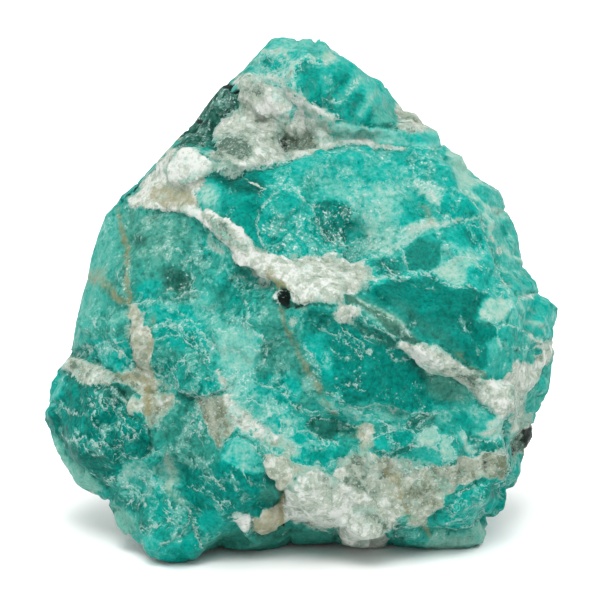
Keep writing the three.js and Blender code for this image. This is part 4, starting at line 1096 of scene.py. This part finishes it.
def wild_fields(face):
    """The fields where the picture shows nothing: patches, veins, lenses, stains and grains."""
    p = face * MM
    fields = {name: np.full(len(p), value) for name, value in FIELDS.items()}

    def lay(name, value, mask):
        fields[name] = mix(fields[name], value, mask)

    fields["tone"] += 0.16 * swells(p, 9 * MM, 11, 3) + 0.12 * swells(p, 3.4 * MM, 13, 2)
    fields["mute"] = varied(p, 0.3, 0.5, 12, 17)
    fields["net"] = varied(p, 0.4, 0.6, 7, 19)
    fields["sugar"] = varied(p, 0.2, 0.5, 6, 23)
    fields["streak"] = patches(p, 14, 29, 2, 0.1, 3) * 0.8
    smooth_crystal = patches(p, 8, 31, 2, 0.15, 5)
    lay("tone", 0.38, smooth_crystal)
    lay("net", 0.08, smooth_crystal)
    lay("tone", 0.8, patches(p, 7, 37, 3, 0.3, 6))
    for k, (through, normal, half, grey) in enumerate(SHEETS):
        n = np.array(normal) / np.linalg.norm(normal)
        wave = 1.6 * swells(p, 10 * MM, 41 + k, 3) + 0.5 * swells(p, 2 * MM, 61 + k, 2)
        off = np.abs((face - through) @ n + wave)
        width = half * (0.75 + 0.9 * swells(p, 8 * MM, 81 + k, 2))
        vein = smooth(0.5 + (width - off) / 0.5)
        lay("quartz", 1.0, vein)
        lay("grey", varied(p, grey, 0.6, 4, 43), vein)
        lay("buff", varied(p, 0.2, 1.2, 7, 47, 0.9), vein)
        lay("sugar", 0.55, vein)
    lens = patches(p, 7.5, 53, 3, 0.34, 9)
    lay("quartz", 1.0, lens)
    lay("grey", varied(p, 0.35, 0.7, 4, 59), lens)
    lay("buff", 0.6, 0.7 * patches(p, 10, 67, 3, 0.25, 5))
    lay("dark", 0.8, patches(p, 3, 71, 2, 0.5, 8))
    return fields


# ---------------------------------------------------------------- the front, as the picture shows it
def lay_markings(fields):
    """Lays the areas, strokes, painted shade along the creases, and thin lines of the picture over the
    guessed fields.
    """
    for name, value in FIELDS.items():
        fields[name] = mix(fields[name], value, shown)
    for outline, soft, inner in AREAS:
        outline = parse(outline)
        stray = np.clip(np.ptp(outline, axis=0).min() / 80, 0.15, 0.4)  # less on small areas
        place = strayed(stray)
        mask = shown * area_mask(*place, outline, soft + 1)
        wider = shown * area_mask(*place, outline, 2 * soft + 2.5)
        for name, value in inner.items():
            fields[name] = mix(fields[name], value, wider if name == "quartz" else mask)
    for path, soft, inner in STROKES:
        mask = shown * stroke_mask(*strayed(0.3), parse(path), soft + 0.35)
        for name, value in inner.items():
            fields[name] = mix(fields[name], value, mask)
    for path, _, depth in CREASES:
        # painted shade: the colour darkens along each crease, with less quartz and greyer green
        shade = 2.5 * depth * bell(path, 1.7)
        fields["tone"] -= 0.2 * shade
        fields["quartz"] -= 0.6 * shade
        fields["mute"] += 0.2 * shade
    for name, paths in LINES.items():
        fields[name + "_side"], near = beside_lines(*strayed(0.15), paths, LINE_HALF[name])
        fields[name + "_near"] = mix(LINE_REACH, near, shown)


def lay_mosaic(fields):
    """Gives each crystal its own slight difference."""
    mosaic = 0.25 + 0.75 * np.clip(fields["net"], 0, 1)
    fields["tone"] += mosaic * (0.10 * (coarse_own - 0.5) + 0.13 * (small_own - 0.5))
    fields["grey"] += 0.3 * (coarse_own - 0.5) + 0.4 * (small_own - 0.5)
    fields["mute"] += 0.25 * mosaic * (small_own - 0.5)


def bell(path, half):
    """1 on a crease or crest and falling off beside it, where the picture shows it."""
    distance, _ = from_segments(*strayed(0.25), parse(path))
    return shown * np.exp(-((distance / half) ** 2))


fields = wild_fields(face)
lay_markings(fields)
lay_mosaic(fields)


# ---------------------------------------------------------------- fine relief
def fine_relief(p, face, fields):
    """The relief along the normal, in millimetres."""
    quartz = smooth(0.5 + 1.5 * fields["quartz"])
    rough = 0.3 + 0.7 * np.clip(fields["net"] + 0.4 * fields["sugar"], 0, 1)
    rough = rough * (1 - 0.4 * quartz)
    height = 0.12 * swells(p, 3.2 * MM, 501, 3) + 0.06 * rough * swells(p, 0.9 * MM, 511, 2)
    _, slab_tilt, _ = chips(p + 0.8 * MM * bend, SLAB, 571)
    height += (0.17 * slab_tilt + rough * (0.18 * coarse_tilt + 0.1 * small_tilt)) / MM
    _, sugar_tilt, _ = chips(p, SUGAR_GRAIN, 541)
    height += (0.5 * quartz + 0.4 * np.clip(fields["sugar"], 0, 1)) * 0.14 * sugar_tilt / MM
    height += 0.12 * quartz - 0.2 * fields["dark"] * shown
    terraces = (face @ np.array((0.72, 0.42, 0.30))) / 1.1 + 0.5 * swells(p, 5 * MM, 561, 2)
    step = terraces - np.floor(terraces)
    height += 0.28 * fields["streak"] * (smooth(step / 0.8) - 0.5)
    for path, half, depth in CREASES:
        height -= 1.5 * depth * bell(path, half)
    for path, half, rise in CRESTS:
        height += rise * bell(path, half)
    return spread_points(height[:, None], edges, 2, 0.6)[:, 0]


def raise_relief(points):
    """The points with the relief on them, inside the outline, the flat spot and the solid's box."""
    calm = smooth((points[:, 2] / MM - FLAT_SPOT) / CALM)  # the flat spot stays flat
    points = points + normals * (fine_relief(points, face, fields) * calm * MM)[:, None]
    points = from_face(fit_outline(to_face(points)))
    points[:, 2] = np.maximum(points[:, 2], 0.0)
    low, high = (np.array(corner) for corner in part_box("amazonite"))
    past = PAST_BOX * (high - low)
    return np.clip(points, low - past * (1, 1, 0), high + past)


def make_stone():
    mesh = bpy.data.meshes.new("amazonite_surface")
    mesh.from_pydata(raise_relief(points).tolist(), [], triangles.tolist())
    mesh.shade_smooth()
    for name, values in fields.items():
        attribute = mesh.attributes.new(name, "FLOAT", "POINT")
        attribute.data.foreach_set("value", values.astype(np.float32))
    stone = bpy.data.objects.new("amazonite_surface", mesh)
    bpy.context.collection.objects.link(stone)
    return stone


# ---------------------------------------------------------------- colours, as they look in the light
ALBEDO = 0.60  # the share of a colour that is the stone's own, the rest being the strength of the light
GREENS = [
    (0.0, (4, 44, 38)),
    (0.14, (0, 84, 74)),
    (0.27, (0, 116, 104)),
    (0.39, (0, 145, 131)),
    (0.50, (0, 172, 157)),
    (0.62, (24, 187, 173)),
    (0.75, (86, 201, 187)),
    (0.88, (144, 213, 198)),
    (1.0, (196, 228, 216)),
]
MUTED_GREENS = [(0.1, (36, 90, 76)), (0.5, (96, 154, 134)), (0.9, (184, 210, 188))]
QUARTZES = [
    (0.0, (240, 245, 238)),
    (0.14, (214, 223, 211)),
    (0.36, (192, 205, 189)),
    (0.65, (162, 181, 165)),
    (0.9, (122, 149, 133)),
    (1.0, (94, 124, 109)),
]
FROST = (184, 228, 216)
PERTHITE = (160, 208, 190)
THREAD = (236, 244, 238)
GLINT = (248, 250, 247)
VEIL = (160, 210, 195)
THIN_QUARTZ = (120, 196, 178)
CREASE_SHADE = (20, 74, 66)
STAIN_EDGE = (140, 140, 96)
STAIN = (138, 128, 78)
BUFF = (166, 157, 112)
FLECK_AND_SPARKLE = (220, 244, 237)
PIT_SHADE = (10, 80, 70)
BLACK = (20, 28, 25)
PALE_LINE = (206, 234, 225)


def srgb(colour):
    linear = [(x / 255 / 12.92) if x <= 10.3 else ((x / 255 + 0.055) / 1.055) ** 2.4 for x in colour]
    return tuple(ALBEDO * x for x in linear) + (1.0,)


class Nodes:
    """Short ways to add shader nodes and link them."""

    def __init__(self, material):
        material.use_nodes = True
        self.tree = material.node_tree
        self.tree.nodes.clear()

    def add(self, kind, inputs=(), **settings):
        node = self.tree.nodes.new("ShaderNode" + kind)
        for key, value in settings.items():
            setattr(node, key, value)
        for key, value in dict(inputs).items():
            if isinstance(value, bpy.types.NodeSocket):
                self.tree.links.new(value, node.inputs[key])
            else:
                node.inputs[key].default_value = value
        return node

    def surface(self, kind, inputs):
        shader = self.add(kind, inputs)
        self.add("OutputMaterial", {"Surface": shader.outputs[0]})

    def math(self, operation, a, b=0.0, c=0.0):
        return self.add("Math", {0: a, 1: b, 2: c}, operation=operation).outputs[0]

    def plus(self, *values):
        total = values[0]
        for value in values[1:]:
            total = self.math("ADD", total, value)
        return total

    def times(self, *values):
        product = values[0]
        for value in values[1:]:
            product = self.math("MULTIPLY", product, value)
        return product

    def scaled(self, value, by, more):
        """The value times one thing, plus another."""
        return self.math("MULTIPLY_ADD", value, by, more)

    def without(self, value):
        """1 less the value."""
        return self.math("SUBTRACT", 1.0, value)

    def centred(self, value, height):
        """A noise from 0 to 1, made to swing by this height around 0."""
        return self.scaled(value, height, -0.5 * height)

    def ridge(self, value, half, middle=0.5):
        """1 on the line where a noise is at its middle, falling to 0 at this half width."""
        off = self.math("ABSOLUTE", self.math("SUBTRACT", value, middle))
        return self.without(self.ramp(off, 0.0, half))

    def cells(self, place, size, feature="F1"):
        """Three numbers of its own for each cell, or the distance to the cell's edge."""
        node = self.add("TexVoronoi", {"Vector": place, "Scale": 1 / size}, feature=feature)
        if feature == "DISTANCE_TO_EDGE":
            return node.outputs["Distance"]
        return self.add("SeparateColor", {0: node.outputs["Color"]}).outputs

    def field(self, name):
        return self.add("Attribute", attribute_name=name).outputs["Fac"]

    def noise(self, place, size, detail=2.0, roughness=0.55):
        inputs = {"Vector": place, "Scale": 1 / size, "Detail": detail, "Roughness": roughness}
        return self.add("TexNoise", {**inputs, "Distortion": 0.0}).outputs["Fac"]

    def ramp(self, value, low, high):
        inputs = {"Value": value, "From Min": low, "From Max": high}
        return self.add("MapRange", inputs, interpolation_type="SMOOTHSTEP").outputs["Result"]

    def mix(self, share, a, b):
        return self.add("Mix", {0: share, 6: a, 7: b}, data_type="RGBA").outputs[2]

    def tint(self, share, under, colour):
        return self.mix(share, under, srgb(colour))

    def colours(self, value, stops):
        ramp = self.add("ValToRGB", {"Fac": value})
        elements = ramp.color_ramp.elements
        while len(elements) < len(stops):
            elements.new(0.5)
        for element, (position, colour) in zip(elements, stops):
            element.position = position
            element.color = srgb(colour)
        return ramp.outputs["Color"]


# ---------------------------------------------------------------- the stone's material, layer by layer
def textures(n):
    """The noises and cells that the layers share."""
    t = SimpleNamespace(place=n.add("TexCoord").outputs["Object"])
    t.wide = n.noise(t.place, 3.2 * MM, 3)
    t.middle = n.noise(t.place, 1.1 * MM, 3, 0.6)
    t.fine = n.noise(t.place, 0.55 * MM, 2, 0.5)
    t.grit = n.noise(t.place, 0.32 * MM, 3, 0.6)
    t.glint = n.noise(t.place, 0.3 * MM, 2, 0.5)
    wander = n.add("TexNoise", {"Vector": t.place, "Scale": 1 / (1.3 * MM), "Detail": 3.0})
    wander = wander.outputs["Color"]
    bend = n.add("VectorMath", {0: wander, 1: (0.5, 0.5, 0.5)}, operation="SUBTRACT").outputs[0]
    bend = n.add("VectorMath", {0: bend, "Scale": 0.9 * MM}, operation="SCALE").outputs[0]
    t.bent = n.add("VectorMath", {0: t.place, 1: bend}, operation="ADD").outputs[0]
    t.islands = n.noise(t.bent, 2.2 * MM, 4, 0.62)
    t.big = n.cells(t.bent, BIG_CELL)
    t.tiny = n.cells(t.bent, TINY_CELL)
    t.squiggle = n.ridge(n.noise(t.bent, 1.1 * MM, 3, 0.62), 0.04)
    t.thread = n.ridge(n.noise(t.bent, 0.6 * MM, 2, 0.5), 0.045)
    return t


def feldspar(n, f, t):
    """Green feldspar, each crystal of slightly different tone."""
    mosaic = n.scaled(f["net"], 0.8, 0.2)
    netted = n.scaled(f["net"], 0.7, 0.3)
    tone = n.scaled(n.centred(t.big[0], 0.15), mosaic, f["tone"])
    tone = n.scaled(n.centred(t.tiny[0], 0.10), mosaic, tone)
    tone = n.plus(tone, n.centred(t.wide, 0.25))
    tone = n.scaled(n.centred(t.middle, 0.35), netted, tone)
    tone = n.scaled(n.centred(t.fine, 0.55), netted, tone)
    tone = n.plus(tone, n.centred(t.grit, 0.35))
    mute = n.plus(f["mute"], n.times(n.centred(t.big[1], 0.22), mosaic))
    return n.mix(mute, n.colours(tone, GREENS), n.colours(tone, MUTED_GREENS))


def frosting(n, f, t):
    """How white the netted feldspar is: smooth islands with pale rims, and crumbled pale ground between."""
    island_edge = 0.63
    level = n.scaled(f["net"], 0.19, t.islands)
    seam = n.without(n.ramp(n.cells(t.bent, TINY_CELL, "DISTANCE_TO_EDGE"), 0.0, 0.11))
    lines = n.math("MAXIMUM", n.times(seam, 0.8), n.times(t.squiggle, 0.4))
    lines = n.times(lines, n.ramp(t.grit, 0.42, 0.58))
    crumbled = n.scaled(n.ramp(t.glint, 0.5, 0.66), 0.35, n.scaled(lines, 0.35, 0.2))
    crumbled = n.times(n.ramp(level, island_edge, 0.70), crumbled)
    rims = n.ridge(level, 0.016, island_edge)
    rims = n.times(rims, n.ramp(f["net"], 0.02, 0.4), n.ramp(t.fine, 0.40, 0.52), 0.38)
    beside = n.without(n.ramp(f["pale_near"], 1.0, 5.0))
    beside = n.times(beside, n.ramp(t.grit, 0.46, 0.6), n.ramp(t.fine, 0.44, 0.6), 0.45)
    return n.math("MAXIMUM", n.math("MAXIMUM", crumbled, rims), beside)


def perthite(n, f, t):
    """How strongly the thin pale bands show."""
    turn = {"Vector": t.bent, "Rotation": (0.3, 0.95, 0.2), "Scale": (1.0, 1.0, 0.14)}
    slant = n.add("Mapping", turn).outputs[0]
    bands = n.ramp(n.noise(slant, 0.75 * MM, 2), 0.5, 0.72)
    return n.times(bands, f["streak"], 0.6)


def quartz_colour(n, f, t):
    """Sugary white to glassy grey, with small painted glints."""
    grain = n.cells(t.place, 0.5 * MM)
    glass = n.plus(f["grey"], n.centred(t.big[0], 0.35), n.centred(grain[0], 0.45))
    glass = n.plus(glass, n.centred(t.middle, 0.9), n.centred(t.grit, 0.8), n.centred(t.glint, 0.5))
    quartz = n.colours(glass, QUARTZES)
    quartz = n.tint(n.times(t.thread, 0.15), quartz, THREAD)
    # painted highlight: sparse bright glints on the quartz
    return n.tint(n.times(n.ramp(t.glint, 0.6, 0.7), 0.5), quartz, GLINT)


def lay_quartz(n, f, t, green):
    """The green with quartz on it, tinted green where the quartz is thin, and how far it covers the green."""
    web = n.scaled(t.squiggle, 0.3, n.times(t.thread, 0.2))
    seen = n.plus(f["quartz"], n.centred(t.middle, 2.0), n.centred(t.grit, 0.7))
    seen = n.scaled(web, n.ramp(f["quartz"], -0.8, -0.1), seen)
    green = n.tint(n.times(n.ramp(seen, -0.5, 0.1), 0.5), green, VEIL)
    cover = n.ramp(seen, -0.12, 0.3)
    colour = n.mix(cover, green, quartz_colour(n, f, t))
    thin = n.without(n.ramp(seen, 0.2, 1.2))
    thin = n.times(thin, cover, n.ramp(t.big[2], 0.45, 0.7), 0.5)
    return n.tint(thin, colour, THIN_QUARTZ), cover


def thin_lines(n, f, t):
    """How strongly each kind of line shows. The lines wander, thin out and break up."""
    jitter = n.plus(n.centred(t.middle, 15.0), n.centred(t.grit, 8.0))
    broken = n.ramp(n.noise(t.place, 0.7 * MM, 3), 0.40, 0.56)
    drawn = {}
    for name in LINES:
        off = n.math("ABSOLUTE", n.plus(f[name + "_side"], jitter))
        close = n.without(n.ramp(f[name + "_near"], 5.0, 8.0))
        drawn[name] = n.times(n.without(n.ramp(off, 0.4, 1.6)), close, broken)
    return drawn


def lay_stains_and_shade_lines(n, f, t, colour, drawn):
    """Dark lines of painted shade along creases and ledges, brown lines with a stained edge, and buff stain.
    """
    # painted shade: dark lines along the creases and ledges
    colour = n.tint(n.times(drawn["shade_line"], 0.45), colour, CREASE_SHADE)
    edge = n.times(n.without(n.ramp(f["stain_near"], 0.5, 7.0)), n.ramp(t.middle, 0.4, 0.6), 0.3)
    colour = n.tint(edge, colour, STAIN_EDGE)
    colour = n.tint(n.times(drawn["stain"], 0.5), colour, STAIN)
    buff = n.ramp(n.scaled(f["buff"], 0.35, t.middle), 0.38, 0.85)
    return n.tint(n.times(f["buff"], buff, 0.8), colour, BUFF)


def lay_specks_and_painted_light(n, f, t, colour, cover):
    """White specks, fewer on quartz, which also serve as painted sparkle highlights; painted shade in small
    hollows; and dark minerals.
    """
    # white specks, which also stand in for painted sparkle highlights
    flecks_and_sparkles = n.ramp(n.scaled(f["sugar"], 0.12, t.glint), 0.60, 0.78)
    flecks_and_sparkles = n.times(flecks_and_sparkles, n.ramp(n.scaled(f["sugar"], 0.3, t.islands), 0.55, 0.75))
    colour = n.tint(n.times(flecks_and_sparkles, n.scaled(cover, -0.75, 1.0)), colour, FLECK_AND_SPARKLE)
    # painted shade: dark green where a fine noise is low, in small hollows
    pit_shade = n.without(n.ramp(n.plus(t.fine, n.centred(t.grit, 0.5)), 0.30, 0.42))
    colour = n.tint(n.times(pit_shade, n.scaled(f["sugar"], 0.25, 0.1)), colour, PIT_SHADE)
    black = n.ramp(n.plus(f["dark"], n.centred(t.fine, 1.0)), 0.35, 0.8)
    return n.tint(n.times(black, 0.94), colour, BLACK)


def bumps(n, t, cover, frost):
    """The finest relief, softer on quartz."""
    relief = n.times(t.middle, n.scaled(cover, -0.4, 0.8))
    relief = n.plus(relief, n.times(t.grit, 0.45))
    relief = n.plus(relief, n.times(n.plus(t.big[0], t.tiny[0]), 0.09), n.times(frost, 0.12))
    return n.add("Bump", {"Strength": 0.8, "Distance": 0.28 * MM, "Height": relief}).outputs["Normal"]


def amazonite_material():
    material = bpy.data.materials.new("amazonite")
    n = Nodes(material)
    t = textures(n)
    f = {name: n.field(name) for name in fields}
    frost = frosting(n, f, t)
    green = n.tint(frost, feldspar(n, f, t), FROST)
    green = n.tint(perthite(n, f, t), green, PERTHITE)
    colour, cover = lay_quartz(n, f, t, green)
    drawn = thin_lines(n, f, t)
    colour = lay_stains_and_shade_lines(n, f, t, colour, drawn)
    colour = lay_specks_and_painted_light(n, f, t, colour, cover)
    # pale lines: white healed cracks, and the painted highlight on the black grain
    colour = n.tint(n.times(drawn["pale"], 0.65), colour, PALE_LINE)
    n.surface(
        "BsdfPrincipled",
        {
            "Base Color": colour,
            "Roughness": n.scaled(t.fine, 0.4, 0.2),
            "Normal": bumps(n, t, cover, frost),
            "IOR": 1.53,
            "Specular IOR Level": 0.03,
            "Subsurface Weight": 0.1,
            "Subsurface Radius": (0.7, 1.0, 0.95),
            "Subsurface Scale": 0.6 * MM,
        },
    )
    return material


stone = make_stone()
stone.data.materials.append(amazonite_material())
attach(stone, "root")
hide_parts("amazonite")

# ---------------------------------------------------------------- floor, light and camera
FLOOR_HALF = 3.0
FLOOR_COLOUR = (0.97, 0.97, 0.97, 1)
# Soft lights: name, degrees to the right of the front, degrees of height, strength, degrees of spread.
LIGHTS = [
    ("left", -12, 56, 1.34, 24),
    ("right", 9, 50, 0.9, 24),
    ("top", 5, 80, 0.67, 24),
    ("back left", -115, 40, 0.84, 30),
    ("back right", 115, 40, 0.84, 30),
]
SKY = 0.65
NEAREST, FARTHEST = 0.01, 20.0  # what the camera sees


def make_floor():
    h = FLOOR_HALF
    mesh = bpy.data.meshes.new("floor")
    mesh.from_pydata([(-h, -h, 0), (h, -h, 0), (h, h, 0), (-h, h, 0)], [], [(0, 1, 2, 3)])
    floor = bpy.data.objects.new("floor", mesh)
    bpy.context.collection.objects.link(floor)
    material = bpy.data.materials.new("floor")
    Nodes(material).surface("BsdfDiffuse", {"Color": FLOOR_COLOUR})
    mesh.materials.append(material)


def make_light():
    world = bpy.data.worlds.new("studio")
    bpy.context.scene.world = world
    world.use_nodes = True
    background = world.node_tree.nodes["Background"]
    background.inputs["Color"].default_value = (1, 1, 1, 1)
    background.inputs["Strength"].default_value = SKY
    for name, azimuth, elevation, strength, spread in LIGHTS:
        light = bpy.data.lights.new(name, "SUN")
        light.energy = strength
        light.angle = math.radians(spread)
        lamp = bpy.data.objects.new(name, light)
        a, e = math.radians(azimuth), math.radians(elevation)
        towards = Vector((math.sin(a) * math.cos(e), -math.cos(a) * math.cos(e), math.sin(e)))
        lamp.rotation_euler = towards.to_track_quat("Z", "Y").to_euler()
        bpy.context.collection.objects.link(lamp)


def make_camera():
    camera = bpy.data.cameras.new("camera")
    camera.lens = LENS
    camera.sensor_width = SENSOR
    camera.clip_start, camera.clip_end = NEAREST, FARTHEST
    eye = bpy.data.objects.new("camera", camera)
    eye.location = Vector(FACE_MIDDLE + OUT * DISTANCE)
    eye.rotation_euler = Vector(OUT).to_track_quat("Z", "Y").to_euler()
    bpy.context.collection.objects.link(eye)
    bpy.context.scene.camera = eye


make_floor()
make_light()
make_camera()
bpy.context.scene.view_settings.view_transform = "Standard"
